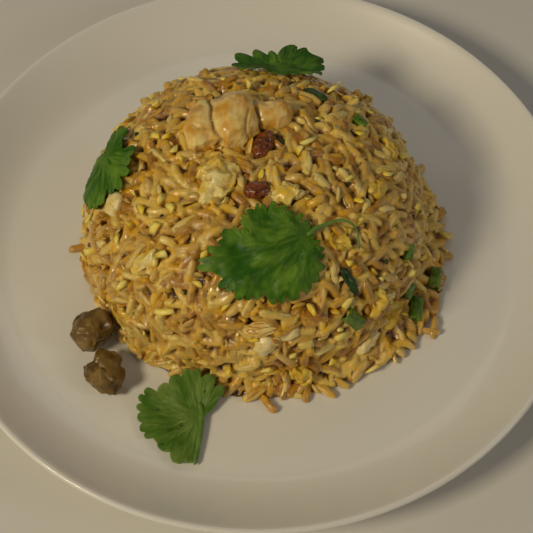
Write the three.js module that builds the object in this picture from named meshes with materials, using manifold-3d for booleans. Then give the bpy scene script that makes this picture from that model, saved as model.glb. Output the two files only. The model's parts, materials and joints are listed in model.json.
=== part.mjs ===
// A mound of chicken and egg fried rice, turned out of a rice bowl onto a round white coupe plate, with coriander
// leaves on it. Millimetres, +Z up. The origin is under the plate's centre, on the plane that the foot ring stands on.
// The heap has a frame of its own inside, whose zero height is just above the plate's well.
import * as THREE from "three";
import { mergeVertices } from "three/addons/utils/BufferGeometryUtils.js";
import Module from "manifold-3d";

const wasm = await Module();
wasm.setup();

// ---------------------------------------------------------------- driving dimensions

const GAP = 0.3; // between neighbours that touch
const MERGE = 0.1; // points of a fused solid that lie closer than this become one

const PLATE_RADIUS = 108;
const WELL_RADIUS = 84; // the flat part that carries the food
const WELL_HEIGHT = 7;
const RIM_HEIGHT = 19;
const PLATE_THICKNESS = 4;
const FOOT_RADIUS = 64;
const FOOT_WIDTH = 5;
const FOOT_HEIGHT = 2.4;
const PLATE_SIDES = 40;

// The mound as the bowl left it, fuller at one shoulder, and the rice that has spread at its foot. Squareness 2
// would be an ellipsoid.
const DOME = { x: -1, y: 2, radius: 58, height: 49, squareness: 2.5 };
const SKIRT = { x: 2, y: -3, z: 0, reach: [59, 58, 8], softness: 12 };
const SPILL = { x: 31, y: -2, z: 0, reach: [33, 45, 12], softness: 14 };
const SHOULDER = { x: 19, y: 21, z: 18, reach: [30, 28, 22], softness: 22 };
const BLEND = 0.9; // how closely the heap follows each of these where they meet
const GRAIN_COVER = 1.6; // the loose grains' layer on the bare core
const CORE_SIDES = 30;
const CORE_RINGS = 8;

const GRAIN_LENGTH = 8.8; // cooked long-grain rice
const GRAIN_WIDTH = 2.8;
const GRAIN_SIDES = 5;
const GRAIN_COUNT = 160;
const SEED = 20;

const LEAF_THICKNESS = 0.5;
const STEM_RADIUS = 0.55;

// ---------------------------------------------------------------- solids

const degrees = THREE.MathUtils.degToRad;

function toSolid(geometry) {
  const bare = geometry.clone();
  bare.deleteAttribute("normal");
  bare.deleteAttribute("uv");
  const merged = mergeVertices(bare, 1e-4);
  return new wasm.Manifold(
    new wasm.Mesh({
      numProp: 3,
      vertProperties: new Float32Array(merged.attributes.position.array),
      triVerts: new Uint32Array(merged.index.array),
    }),
  );
}

function toGeometry(solid) {
  const mesh = solid.getMesh();
  return new THREE.BufferGeometry()
    .setAttribute("position", new THREE.BufferAttribute(mesh.vertProperties, 3))
    .setIndex(new THREE.BufferAttribute(mesh.triVerts, 1));
}

// The largest body of a solid: what a cut leaves loose beside it is dropped.
function largestBody(solid) {
  return solid.decompose().reduce((best, body) => (body.volume() > best.volume() ? body : best));
}

// A geometry from a grid of rows of points that closes on itself sideways and has a point at each end.
function closedShell(rows, first, last) {
  const sides = rows[0].length;
  const points = [first, ...rows.flat(), last];
  const faces = [];
  const at = (row, side) => 1 + row * sides + (side % sides);
  for (let side = 0; side < sides; side++) {
    faces.push(0, at(0, side + 1), at(0, side));
    for (let row = 0; row + 1 < rows.length; row++) {
      faces.push(at(row, side), at(row, side + 1), at(row + 1, side + 1));
      faces.push(at(row, side), at(row + 1, side + 1), at(row + 1, side));
    }
    faces.push(points.length - 1, at(rows.length - 1, side), at(rows.length - 1, side + 1));
  }
  const shell = new THREE.BufferGeometry().setFromPoints(points);
  shell.setIndex(faces);
  return shell;
}

// Repeatable random numbers from 0 to 1.
function randomNumbers(seed) {
  let state = seed;
  return () => {
    state = (state + 0x6d2b79f5) | 0;
    let t = Math.imul(state ^ (state >>> 15), 1 | state);
    t = (t + Math.imul(t ^ (t >>> 7), 61 | t)) ^ t;
    return ((t ^ (t >>> 14)) >>> 0) / 4294967296;
  };
}

// ---------------------------------------------------------------- the heap's surface

function moundDistance(x, y, z) {
  const n = DOME.squareness;
  const flat = Math.hypot(x - DOME.x, y - DOME.y) / DOME.radius;
  const dome = ((flat ** n + (z / DOME.height) ** n) ** (1 / n) - 1) * DOME.height;
  const lobes = [SKIRT, SPILL, SHOULDER].map(
    (lobe) =>
      (Math.hypot((x - lobe.x) / lobe.reach[0], (y - lobe.y) / lobe.reach[1], (z - lobe.z) / lobe.reach[2]) - 1) *
      lobe.softness,
  );
  const parts = [dome, ...lobes];
  const nearest = Math.min(...parts);
  return nearest - Math.log(parts.reduce((sum, d) => sum + Math.exp(BLEND * (nearest - d)), 0)) / BLEND;
}

// The heap's outer surface in a direction from the middle of its foot, and the way that it faces there.
function surfaceAt(azimuth, elevation) {
  const ray = new THREE.Vector3(
    Math.cos(elevation) * Math.cos(azimuth),
    Math.cos(elevation) * Math.sin(azimuth),
    Math.sin(elevation),
  );
  let inside = 20;
  let outside = 90;
  for (let step = 0; step < 24; step++) {
    const middle = (inside + outside) / 2;
    const within = moundDistance(ray.x * middle, ray.y * middle, ray.z * middle) < 0;
    if (within) inside = middle;
    else outside = middle;
  }
  const point = ray.multiplyScalar(inside);
  const reach = 0.2;
  const slope = (dx, dy, dz) =>
    moundDistance(point.x + dx, point.y + dy, point.z + Math.max(dz, 0)) -
    moundDistance(point.x - dx, point.y - dy, point.z - Math.max(dz, 0) * 0.5);
  const normal = new THREE.Vector3(slope(reach, 0, 0), slope(0, reach, 0), slope(0, 0, reach) / 0.75).normalize();
  return { point, normal };
}

function surfaceToward(place) {
  return surfaceAt(Math.atan2(place.y, place.x), Math.atan2(Math.max(place.z, 0), Math.hypot(place.x, place.y)));
}

// A frame on the heap's surface: x runs along the plate's x as nearly as the slope lets it, turned by heading, and
// z stands out of the heap. Angles are in degrees.
function frameOn(azimuth, elevation, heading = 0, lift = 0) {
  const { point, normal } = surfaceAt(degrees(azimuth), degrees(elevation));
  const across = new THREE.Vector3(1, 0, 0).addScaledVector(normal, -normal.x).normalize();
  across.applyAxisAngle(normal, degrees(heading));
  const along = new THREE.Vector3().crossVectors(normal, across);
  return new THREE.Matrix4()
    .makeBasis(across, along, normal)
    .setPosition(point.clone().addScaledVector(normal, lift));
}

// The smooth core of the heap, or a copy that stands out from it by a clearance.
function coreGeometry(clearance) {
  const rows = [];
  for (let ring = CORE_RINGS - 1; ring >= 0; ring--) {
    const elevation = (ring / CORE_RINGS) ** 1.25 * (Math.PI / 2);
    const row = [];
    for (let side = 0; side < CORE_SIDES; side++) {
      const azimuth = ((side + (ring % 2) / 2) / CORE_SIDES) * 2 * Math.PI;
      const { point, normal } = surfaceAt(azimuth, elevation);
      point.addScaledVector(normal, clearance - GRAIN_COVER);
      if (ring === 0) point.z = 0;
      row.push(point);
    }
    rows.push(row.reverse());
  }
  if (clearance > 0) rows.push(rows.at(-1).map((point) => point.clone().setZ(-clearance)));
  const top = surfaceAt(0, Math.PI / 2);
  top.point.addScaledVector(top.normal, clearance - GRAIN_COVER);
  return closedShell(rows, top.point, new THREE.Vector3(0, 0, rows.at(-1)[0].z));
}

const bareCore = toSolid(coreGeometry(0));
const coreClearance = toSolid(coreGeometry(GAP));

// ---------------------------------------------------------------- shapes of the pieces

// A lumpy rounded piece: a sphere whose points are pushed in and out, stretched to its three sizes.
function lumpGeometry(size, seed, roughness, sides = 8, rings = 6) {
  const random = randomNumbers(seed);
  const sphere = mergeVertices(
    new THREE.SphereGeometry(0.5, sides, rings).deleteAttribute("normal").deleteAttribute("uv"),
    1e-4,
  );
  const position = sphere.attributes.position;
  for (let i = 0; i < position.count; i++) {
    const push = 1 + (random() - 0.5) * roughness;
    position.setXYZ(i, position.getX(i) * push, position.getY(i) * push, position.getZ(i) * push);
  }
  return sphere.rotateX(Math.PI / 2).scale(...size);
}

// A cooked grain: a slender body with few sides, its ends blunt.
function grainGeometry(length, width) {
  const stations = [-0.4, 0.02, 0.4];
  const girths = [0.7, 1, 0.74];
  const rows = stations.map((station, i) => {
    const row = [];
    for (let side = 0; side < GRAIN_SIDES; side++) {
      const turn = (side / GRAIN_SIDES) * 2 * Math.PI;
      const radius = (width / 2) * girths[i];
      row.push(new THREE.Vector3(station * length, Math.cos(turn) * radius, Math.sin(turn) * radius));
    }
    return row;
  });
  return closedShell(
    rows,
    new THREE.Vector3(-length / 2, 0, 0),
    new THREE.Vector3(length / 2, 0, 0),
  );
}

// A short hollow length of spring onion lying along x, pressed a little flat.
function onionGeometry(length, radius, wall = 0.9, sides = 9) {
  const profile = [
    [radius, -length / 2],
    [radius, length / 2],
    [radius - wall, length / 2],
    [radius - wall, -length / 2],
    [radius, -length / 2],
  ].map(([x, y]) => new THREE.Vector2(x, y));
  return new THREE.LatheGeometry(profile, sides).rotateZ(Math.PI / 2).scale(1, 1, 0.72);
}

// ---------------------------------------------------------------- coriander leaves

// The leaf's edge, as a distance from its middle: an oval with rounded teeth, and deeper cuts between its lobes.
function leafReach(leaf, angle) {
  const oval = 1 / Math.hypot(Math.cos(angle) / leaf.length, Math.sin(angle) / leaf.width);
  const tooth = Math.abs(Math.sin((angle * leaf.teeth) / 2)) * leaf.toothDepth;
  const cuts = leaf.cuts.reduce((sum, [at, depth, breadth]) => {
    const away = THREE.MathUtils.euclideanModulo(angle - degrees(at) + Math.PI, 2 * Math.PI) - Math.PI;
    return sum + depth * Math.exp(-((away / degrees(breadth)) ** 2));
  }, 0);
  return (oval / 2) * (1 - leaf.toothDepth + tooth) * (1 - cuts);
}

// A thin wavy leaf. settle takes a flat point of the leaf, in its own frame, and gives where it lies and its facing.
function leafGeometry(leaf, settle) {
  const upper = [];
  const lower = [];
  const middle = settle(0, 0);
  for (const share of [0.5, 1]) {
    const above = [];
    const below = [];
    for (let step = 0; step < 2 * leaf.teeth; step++) {
      const angle = (step / leaf.teeth) * Math.PI;
      const reach = leafReach(leaf, angle) * share;
      const { point, normal } = settle(Math.cos(angle) * reach, Math.sin(angle) * reach);
      above.push(point.clone().addScaledVector(normal, LEAF_THICKNESS));
      below.push(point);
    }
    upper.push(above.reverse());
    lower.push(below.reverse());
  }
  return closedShell(
    [...upper, ...lower.reverse()],
    middle.point.clone().addScaledVector(middle.normal, LEAF_THICKNESS),
    middle.point,
  );
}

// Lays a leaf on the heap: its flat points are drawn onto the surface, lifted by its own waves. A flap stands
// further off the slope the further down it reaches.
function settleOnHeap(leaf) {
  const frame = frameOn(leaf.azimuth, leaf.elevation, leaf.heading);
  return (x, y) => {
    const { point, normal } = surfaceToward(new THREE.Vector3(x, y, 0).applyMatrix4(frame));
    const lift = leaf.lift + leaf.wave * (0.5 + 0.5 * Math.sin(x * 0.42 + 1) * Math.cos(y * 0.37));
    const flap = leaf.flap * Math.max(0, y);
    return { point: point.addScaledVector(normal, lift + flap), normal };
  };
}

// A round stem through points of the heap's frame.
function stemGeometry(points, radius, steps) {
  const section = new THREE.Shape().absarc(0, 0, radius, 0, 2 * Math.PI);
  return new THREE.ExtrudeGeometry(section, {
    extrudePath: new THREE.CatmullRomCurve3(points),
    steps,
    curveSegments: 3,
  });
}

// ---------------------------------------------------------------- materials

const surface = (color, roughness) => new THREE.MeshStandardMaterial({ color, roughness, metalness: 0 });
const GLAZE = surface(0xf1f0ec, 0.18);
const RICE = surface(0xc69a55, 0.42);
const CHICKEN = surface(0xd2aa66, 0.45);
const EGG = surface(0xd9b240, 0.5);
const EGG_WHITE = surface(0xe2cd8e, 0.45);
const BROWNED = surface(0x6d3417, 0.35);
const ONION_GREEN = surface(0x4f7325, 0.4);
const LEAF_GREEN = surface(0x3d6a20, 0.5);

const object = new THREE.Group();
const heap = new THREE.Group();
heap.position.z = WELL_HEIGHT + GAP;
object.add(heap);

function addMesh(parent, name, geometry, material) {
  const mesh = new THREE.Mesh(geometry, material);
  mesh.name = name;
  parent.add(mesh);
  return mesh;
}

// ---------------------------------------------------------------- the plate

// A coupe plate: a flat well whose edge sweeps up in one curve to a rounded lip, on a foot ring.
function plateGeometry() {
  const sweep = (share, drop) => {
    const radius = THREE.MathUtils.lerp(WELL_RADIUS, PLATE_RADIUS - 1.2, share);
    return [radius, THREE.MathUtils.lerp(WELL_HEIGHT, RIM_HEIGHT, share ** 1.7) - drop];
  };
  const under = WELL_HEIGHT - PLATE_THICKNESS;
  const profile = [
    [0, WELL_HEIGHT],
    sweep(0, 0),
    sweep(0.35, 0),
    sweep(0.7, 0),
    sweep(1, 0),
    [PLATE_RADIUS, RIM_HEIGHT - 1.4],
    [PLATE_RADIUS - 0.8, RIM_HEIGHT - 3],
    sweep(0.7, PLATE_THICKNESS),
    sweep(0.3, PLATE_THICKNESS + 0.2),
    [FOOT_RADIUS + FOOT_WIDTH / 2 + 1, under],
    [FOOT_RADIUS + FOOT_WIDTH / 2, 0],
    [FOOT_RADIUS - FOOT_WIDTH / 2, 0],
    [FOOT_RADIUS - FOOT_WIDTH / 2 - 1, FOOT_HEIGHT],
    [0, FOOT_HEIGHT],
  ];
  const points = profile.reverse().map(([radius, height]) => new THREE.Vector2(radius, height));
  return new THREE.LatheGeometry(points, PLATE_SIDES).rotateX(Math.PI / 2);
}

addMesh(object, "plate", plateGeometry(), GLAZE);

// ---------------------------------------------------------------- toppings set into the heap

// A piece is let into the grain layer and cut to lie on the bare core. sink is how far its middle lies under the
// grains' level. Azimuth, elevation and heading are in degrees, sizes in millimetres.
function letIn(geometry, { azimuth, elevation, heading = 0, sink = 0.4, roll = 0 }) {
  const placed = geometry.clone();
  placed.rotateX(degrees(roll));
  placed.applyMatrix4(frameOn(azimuth, elevation, heading, -sink));
  return largestBody(toSolid(placed).subtract(coreClearance));
}

const chickenPieces = {
  chicken_front_lobe: { azimuth: 145, elevation: 66, heading: 80, size: [21.5, 10.5, 11.5], sink: -1.4, seed: 3 },
  chicken_large: { azimuth: 115, elevation: 72.6, heading: 80, size: [22.5, 15, 14], sink: -1.6, seed: 5 },
  chicken_back_lobe: { azimuth: 70, elevation: 69.6, heading: 40, size: [12, 9.8, 9], sink: -0.6, seed: 8 },
  chicken_shred: { azimuth: -89.6, elevation: 29.7, heading: 4, size: [11.5, 5.5, 3.4], sink: 0.2, seed: 11 },
};

// Soft curds of scrambled egg, yellow or mostly white.
const eggPieces = {
  egg_curd_top: { azimuth: -148, elevation: 73.6, heading: 70, size: [15.5, 12.5, 4.8], seed: 21 },
  egg_curd_middle: { azimuth: -50, elevation: 72.2, heading: 30, size: [9, 6.8, 4.4], seed: 22 },
  egg_under_stem: { azimuth: -44, elevation: 49, heading: 70, size: [9.2, 6.8, 3.4], seed: 23 },
  egg_right: { azimuth: -8.6, elevation: 46.2, heading: 85, size: [7.6, 6, 3.8], seed: 24 },
  egg_left: { azimuth: -139.5, elevation: 37.2, heading: 15, size: [9.4, 6.4, 3.8], seed: 25 },
  egg_lower_right: { azimuth: -45.2, elevation: 22, heading: 75, size: [9.8, 5, 3.8], seed: 26 },
  egg_foot_right: { azimuth: -38.5, elevation: 10.5, heading: 80, size: [9.4, 4.6, 3.8], seed: 27 },
  egg_foot_front: { azimuth: -76.6, elevation: 6.5, heading: 150, size: [9.6, 6, 4], seed: 28 },
  egg_rim_right: { azimuth: 17.3, elevation: 38.5, heading: 120, size: [7.2, 4.2, 3.6], seed: 29 },
};

const eggWhitePieces = {
  egg_white_foot: { azimuth: -51, elevation: 7.5, heading: 40, size: [10.5, 6.4, 4], seed: 34 },
  egg_white_front: { azimuth: -88, elevation: 23.2, heading: 20, size: [7.2, 6.4, 4], seed: 31 },
  egg_white_fold: { azimuth: -79.7, elevation: 26.6, heading: 10, size: [7.2, 5, 3.2], seed: 32 },
  egg_white_left: { azimuth: -170.2, elevation: 37.9, heading: 35, size: [8, 6.6, 3.4], seed: 33 },
};

const brownedPieces = {
  browned_top: { azimuth: 67, elevation: 83.5, heading: 65, size: [10.5, 6.4, 4.6], seed: 41 },
  browned_middle: { azimuth: -91, elevation: 76.4, heading: 8, size: [8.6, 5.6, 3.8], seed: 42 },
};

const onionPieces = {
  onion_top: { azimuth: 30.5, elevation: 46, heading: 150, length: 4.6, radius: 2, sink: 0.3 },
  onion_front: { azimuth: -55.6, elevation: 23.2, heading: -48, length: 8.4, radius: 2.4, sink: 0.2 },
  onion_side: { azimuth: -21.9, elevation: 24.1, heading: 80, length: 4.8, radius: 2.2, sink: 0.3 },
  onion_spill_inner: { azimuth: -28, elevation: 10, heading: 55, length: 5.2, radius: 2.3, sink: 0.3 },
  onion_spill_front: { azimuth: -30.5, elevation: 5.4, heading: 80, length: 7.4, radius: 2.3, sink: 0.2 },
  onion_spill_outer: { azimuth: -17.5, elevation: 4.4, heading: 72, length: 7, radius: 2.3, sink: 0.1 },
};

// Flat shreds of dark leaf and onion green.
const shredPieces = {
  green_shred_front: { azimuth: -51.6, elevation: 35.6, heading: -58, size: [12.5, 3.4, 2], seed: 51 },
  green_shred_back: { azimuth: 56.3, elevation: 50.6, heading: -28, size: [9, 4.4, 2.2], seed: 52 },
};

const toppings = [];

function addTopping(name, solid, material) {
  toppings.push(solid);
  addMesh(heap, name, toGeometry(solid), material);
}

function addLumps(pieces, material, roughness, sides, rings) {
  for (const [name, piece] of Object.entries(pieces))
    addTopping(name, letIn(lumpGeometry(piece.size, piece.seed, roughness, sides, rings), piece), material);
}

// Neighbouring chicken lobes are cut clear of each other with a copy that is larger by the gap all round.
function addChicken() {
  let taken = null;
  for (const [name, piece] of Object.entries(chickenPieces)) {
    let solid = letIn(lumpGeometry(piece.size, piece.seed, 0.1, 10, 8), piece);
    if (taken) solid = largestBody(solid.subtract(taken));
    const wider = lumpGeometry(
      piece.size.map((side) => side + 2 * GAP),
      piece.seed,
      0.1,
      10,
      8,
    );
    const reserve = letIn(wider, piece);
    taken = taken ? taken.add(reserve) : reserve;
    addTopping(name, solid, CHICKEN);
  }
}

addChicken();
addLumps(eggPieces, EGG, 0.34, 8, 6);
addLumps(eggWhitePieces, EGG_WHITE, 0.26, 7, 5);
addLumps(brownedPieces, BROWNED, 0.2, 8, 6);
addLumps(shredPieces, LEAF_GREEN, 0.12, 8, 4);
for (const [name, piece] of Object.entries(onionPieces))
  addTopping(name, letIn(onionGeometry(piece.length, piece.radius), piece), ONION_GREEN);

// ---------------------------------------------------------------- leaves on the heap and beside it

const LEAVES = {
  coriander_centre: {
    azimuth: -88,
    elevation: 53,
    heading: 8,
    length: 40,
    width: 33,
    teeth: 22,
    toothDepth: 0.13,
    cuts: [
      [126, 0.3, 8],
      [74, 0.26, 6],
      [17, 0.16, 6],
      [-92, 0.2, 7],
      [-141, 0.14, 6],
    ],
    lift: 0.9,
    wave: 1.1,
    flap: 0,
  },
  coriander_left: {
    azimuth: 171,
    elevation: 35,
    heading: 96,
    length: 30,
    width: 23,
    teeth: 18,
    toothDepth: 0.13,
    cuts: [
      [150, 0.4, 9],
      [-32, 0.3, 9],
      [40, 0.2, 8],
    ],
    lift: 1,
    wave: 0.9,
    flap: 0,
  },
  coriander_back: {
    azimuth: 81,
    elevation: 40,
    heading: 2,
    length: 32,
    width: 18,
    teeth: 18,
    toothDepth: 0.13,
    cuts: [
      [118, 0.3, 9],
      [62, 0.3, 8],
      [-70, 0.2, 8],
    ],
    lift: 0.9,
    wave: 1,
    flap: 0.75,
  },
};

// The centre leaf's stem rises off the leaf and curls down again beside it.
const STEM_STOPS = [
  [-58, 57.2, 2],
  [-49, 55.5, 2.6],
  [-40.4, 53.3, 3.2],
  [-38, 48.5, 3.4],
  [-43, 43.5, 2.9],
];

function addHeapLeaves() {
  for (const [name, leaf] of Object.entries(LEAVES)) {
    let solid = toSolid(leafGeometry(leaf, settleOnHeap(leaf)));
    if (name === "coriander_centre") {
      const stops = STEM_STOPS.map(([azimuth, elevation, lift]) =>
        new THREE.Vector3().setFromMatrixPosition(frameOn(azimuth, elevation, 0, lift)),
      );
      solid = solid.add(toSolid(stemGeometry(stops, STEM_RADIUS, 9)));
    }
    addTopping(name, largestBody(solid), LEAF_GREEN);
  }
}

// The fourth leaf leans on the foot of the heap and runs out flat over the plate, its stem under one edge.
const FRONT_LEAF = {
  x: -23.5,
  y: -68,
  length: 29,
  width: 32,
  teeth: 18,
  toothDepth: 0.12,
  cuts: [
    [-18, 0.52, 17],
    [4, 0.2, 8],
    [118, 0.16, 9],
    [-112, 0.2, 6],
  ],
};
const LEAN_START = 7; // how far up the leaf from its middle it begins to climb the heap
const LEAN_SLOPE = 0.95;
const FLAT_LIFT = 0.6;

function settleOnPlate(x, y) {
  const over = y - LEAN_START;
  const climb = (LEAN_SLOPE * (over + Math.hypot(over, 3))) / 2;
  const ripple = 0.5 * (1 + Math.sin(x * 0.5) * Math.cos(y * 0.33));
  const slope = (LEAN_SLOPE * (1 + over / Math.hypot(over, 3))) / 2;
  return {
    point: new THREE.Vector3(FRONT_LEAF.x + x, FRONT_LEAF.y + y - 0.25 * climb, FLAT_LIFT + climb + ripple),
    normal: new THREE.Vector3(0, -slope, 1).normalize(),
  };
}

addHeapLeaves();
const frontStem = [
  [5.2, 2.2, 1.6],
  [4.6, -5, 1.2],
  [3.2, -14, 1],
].map(([x, y, z]) => new THREE.Vector3(FRONT_LEAF.x + x, FRONT_LEAF.y + y, z));
addTopping(
  "coriander_front",
  largestBody(
    toSolid(leafGeometry(FRONT_LEAF, settleOnPlate)).add(toSolid(stemGeometry(frontStem, STEM_RADIUS * 1.5, 4))),
  ),
  LEAF_GREEN,
);

// ---------------------------------------------------------------- chicken lying loose on the plate

const LOOSE_CHICKEN = {
  chicken_loose_upper: { at: [-54, -37.3, 6.2], turn: 20, size: [14.6, 13.6, 12], seed: 61 },
  chicken_loose_lower: { at: [-49, -52.6, 4.7], turn: -55, size: [15.6, 12.4, 9], seed: 62 },
};

for (const [name, piece] of Object.entries(LOOSE_CHICKEN)) {
  const lump = lumpGeometry(piece.size, piece.seed, 0.1, 9, 7).rotateZ(degrees(piece.turn));
  addTopping(name, largestBody(toSolid(lump.translate(...piece.at)).subtract(coreClearance)), CHICKEN);
}

// ---------------------------------------------------------------- the rice

// Grains that lie out on the plate from the heap's foot: azimuth, distance out, and the way that each points.
const STRAYS = [
  [-177, 60.5, 178],
  [-154, 56.5, 170],
  [-133, 56.5, -95],
  [-88, 61.5, -48],
  [-80.5, 60, 6],
  [-75, 60.5, -80],
  [-69.5, 60.5, -38],
  [-66, 60, 14],
  [-45, 63, -80],
  [-34, 66, -22],
  [-31, 67, 62],
  [-6, 63, 20],
  [27, 62.5, 48],
  [52, 62, 65],
  [95, 60, 80],
  [128, 59, 140],
  [152, 59, 170],
];
const STRAY_HEIGHT = GRAIN_WIDTH / 2 + 0.1;
const CLEAR_SCALE = [1.23, 1.23, 1.23]; // how much larger a grain is taken to be when it is kept off a topping

// Bits of egg, browned crumbs and flakes of green between the grains: azimuth, elevation, heading, length, width.
const SMALL_BITS = [
  [-155, 42, 20, 5, 4],
  [-145, 47, 60, 6, 5],
  [-173, 23, 80, 5, 3.4],
  [149, 33, 50, 5, 4],
  [-61, 21, 15, 5.6, 3.2],
  [-108, 21, 30, 5.6, 4],
  [-124, 29, 10, 8, 4.6],
  [-115, 42, 0, 4.2, 4],
  [-56, 30.5, 35, 6, 4],
  [-158, 47, 100, 7, 4.6],
  [-156, 54, 60, 5.6, 4.8],
  [171, 61, 70, 8, 5],
  [25, 70, 30, 7, 2.6],
  [-24, 50.5, 70, 5.6, 3.2],
  [-88, 12, 0, 5, 3.2],
  [95, 56, 0, 4.4, 4],
  [-3, 22, 90, 4.8, 3.6],
  [159, 56, 40, 4.6, 3.4],
  [-140, 18, 80, 4.4, 3.2],
  [72, 56, 80, 6, 3.2],
];

function bitGeometry([azimuth, elevation, heading, length, width], index) {
  const bit = lumpGeometry([length, width, width * 0.7], index + 1, 0.2, 5, 4);
  return bit.applyMatrix4(frameOn(azimuth, elevation, heading, -0.3));
}

function buildRice() {
  const random = randomNumbers(SEED);
  const reserved = wasm.Manifold.union(toppings);
  const goldenTurn = 180 * (3 - Math.sqrt(5));
  const grains = SMALL_BITS.map(bitGeometry);
  for (let i = 0; i < GRAIN_COUNT; i++) {
    const elevation = THREE.MathUtils.radToDeg(Math.asin(1 - ((i + 0.5) / GRAIN_COUNT) * 0.97));
    const frame = frameOn(i * goldenTurn, elevation, random() * 360, -0.7 - random() * 0.5);
    const tilt = new THREE.Matrix4().makeRotationY(degrees((random() - 0.5) * 26));
    const length = GRAIN_LENGTH * (0.85 + random() * 0.25);
    grains.push(grainGeometry(length, GRAIN_WIDTH).applyMatrix4(frame.multiply(tilt)));
  }
  for (const [azimuth, out, heading] of STRAYS) {
    const grain = grainGeometry(GRAIN_LENGTH, GRAIN_WIDTH).rotateZ(degrees(heading));
    const turn = degrees(azimuth);
    grains.push(grain.translate(Math.cos(turn) * out, Math.sin(turn) * out, STRAY_HEIGHT));
  }
  // A grain that would touch a topping, seen with the gap round it, or reach below the heap, is left out.
  const clear = (geometry) => {
    geometry.computeBoundingBox();
    const middle = geometry.boundingBox.getCenter(new THREE.Vector3());
    const wider = geometry.clone().translate(-middle.x, -middle.y, -middle.z).scale(...CLEAR_SCALE);
    wider.translate(middle.x, middle.y, middle.z);
    return geometry.boundingBox.min.z > 0 && toSolid(wider).intersect(reserved).isEmpty();
  };
  const kept = grains.filter(clear).map(toSolid);
  return largestBody(wasm.Manifold.union([bareCore, ...kept]).simplify(MERGE));
}

addMesh(heap, "rice_heap", toGeometry(buildRice()), RICE);

export default object;
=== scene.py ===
"""Chicken and egg fried rice, turned out of a rice bowl onto a white coupe plate, with coriander leaves.

The heap is packed grain by grain over a core of its own. Toppings start from their solids and take on the
relief of the real food. Places and sizes are in millimetres, in the plate's frame, and become metres where a
mesh is made.
"""
import json
import math
from functools import partial

import bmesh
import bpy
import numpy as np
from mathutils import Matrix, Vector, kdtree
from mathutils.bvhtree import BVHTree

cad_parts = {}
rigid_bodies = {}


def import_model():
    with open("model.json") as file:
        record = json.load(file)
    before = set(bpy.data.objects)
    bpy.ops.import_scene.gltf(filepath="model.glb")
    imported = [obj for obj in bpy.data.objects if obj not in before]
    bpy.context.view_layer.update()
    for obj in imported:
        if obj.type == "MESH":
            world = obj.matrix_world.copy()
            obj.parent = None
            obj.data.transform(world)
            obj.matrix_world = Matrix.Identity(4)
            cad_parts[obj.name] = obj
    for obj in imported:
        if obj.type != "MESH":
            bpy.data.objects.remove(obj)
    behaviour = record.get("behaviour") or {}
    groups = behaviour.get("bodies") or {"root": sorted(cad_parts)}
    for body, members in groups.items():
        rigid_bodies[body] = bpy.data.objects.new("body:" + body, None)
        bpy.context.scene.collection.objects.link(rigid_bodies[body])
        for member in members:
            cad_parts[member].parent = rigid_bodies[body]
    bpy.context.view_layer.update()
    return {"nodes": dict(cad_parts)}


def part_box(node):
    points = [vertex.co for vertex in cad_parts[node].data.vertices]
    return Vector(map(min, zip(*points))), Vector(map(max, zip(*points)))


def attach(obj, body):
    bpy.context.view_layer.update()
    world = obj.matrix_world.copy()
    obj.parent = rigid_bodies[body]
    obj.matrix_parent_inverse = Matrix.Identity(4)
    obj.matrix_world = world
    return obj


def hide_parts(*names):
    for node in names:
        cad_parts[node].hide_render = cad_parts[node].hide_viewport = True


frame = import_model()

MM = 0.001

# ---- driving dimensions, as in the part's source

PLATE_RADIUS = 108
WELL_RADIUS = 84
WELL_HEIGHT = 7
RIM_HEIGHT = 19
PLATE_THICKNESS = 4
FOOT_RADIUS = 64
FOOT_WIDTH = 5
FOOT_HEIGHT = 2.4

HEAP_BASE = WELL_HEIGHT + 0.3  # the heap's zero height, just above the plate's well
DOME = {"x": -1, "y": 2, "radius": 58, "height": 49, "squareness": 2.5}
SKIRT = {"middle": (2, -3, 0), "reach": (59, 58, 8), "softness": 12}
SPILL = {"middle": (31, -2, 0), "reach": (33, 45, 12), "softness": 14}
SHOULDER = {"middle": (19, 21, 18), "reach": (30, 28, 22), "softness": 22}
BLEND = 0.9

# ---- the camera

VIEW_DISTANCE = 420
VIEW_TILT = math.radians(58)  # how far the camera looks down
VIEW_TARGET = (2.9, -10.4, HEAP_BASE)
SENSOR = 36
LENS = 82.3


def aimed(name, data, place, target):
    """A camera or light at place that looks at target."""
    obj = bpy.data.objects.new(name, data)
    obj.location = Vector(place) * MM
    obj.rotation_euler = ((Vector(target) - Vector(place)) * MM).to_track_quat("-Z", "Y").to_euler()
    bpy.context.scene.collection.objects.link(obj)
    return obj


def place_camera():
    """A table-top camera that looks down on the plate from the front."""
    camera = bpy.data.cameras.new("camera")
    camera.sensor_width = SENSOR
    camera.lens = LENS
    camera.clip_start = 0.01
    back = -VIEW_DISTANCE * math.cos(VIEW_TILT)
    up = VIEW_DISTANCE * math.sin(VIEW_TILT) + HEAP_BASE
    bpy.context.scene.camera = aimed("camera", camera, (0, back, up), VIEW_TARGET)


place_camera()

# ---- small tools


def linear(code):
    """A colour's sRGB hex code as the linear values that a shader takes."""
    channels = [int(code[i : i + 2], 16) / 255 for i in (1, 3, 5)]
    return (*[c / 12.92 if c <= 0.04045 else ((c + 0.055) / 1.055) ** 2.4 for c in channels], 1)


def give(node, inputs):
    """Fills a node's inputs, by name or in the order of those in use: each with a number, a colour's hex
    code, or a link from a socket or from another node's first output in use."""
    if isinstance(inputs, dict):
        sockets = [node.inputs[name] for name in inputs]
        inputs = inputs.values()
    else:
        sockets = [socket for socket in node.inputs if socket.enabled]
    for socket, value in zip(sockets, inputs):
        if isinstance(value, bpy.types.Node):
            value = next(output for output in value.outputs if output.enabled)
        if isinstance(value, bpy.types.NodeSocket):
            node.id_data.links.new(value, socket)
        elif isinstance(value, str) and value.startswith("#"):
            socket.default_value = linear(value)
        else:
            socket.default_value = value


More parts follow.
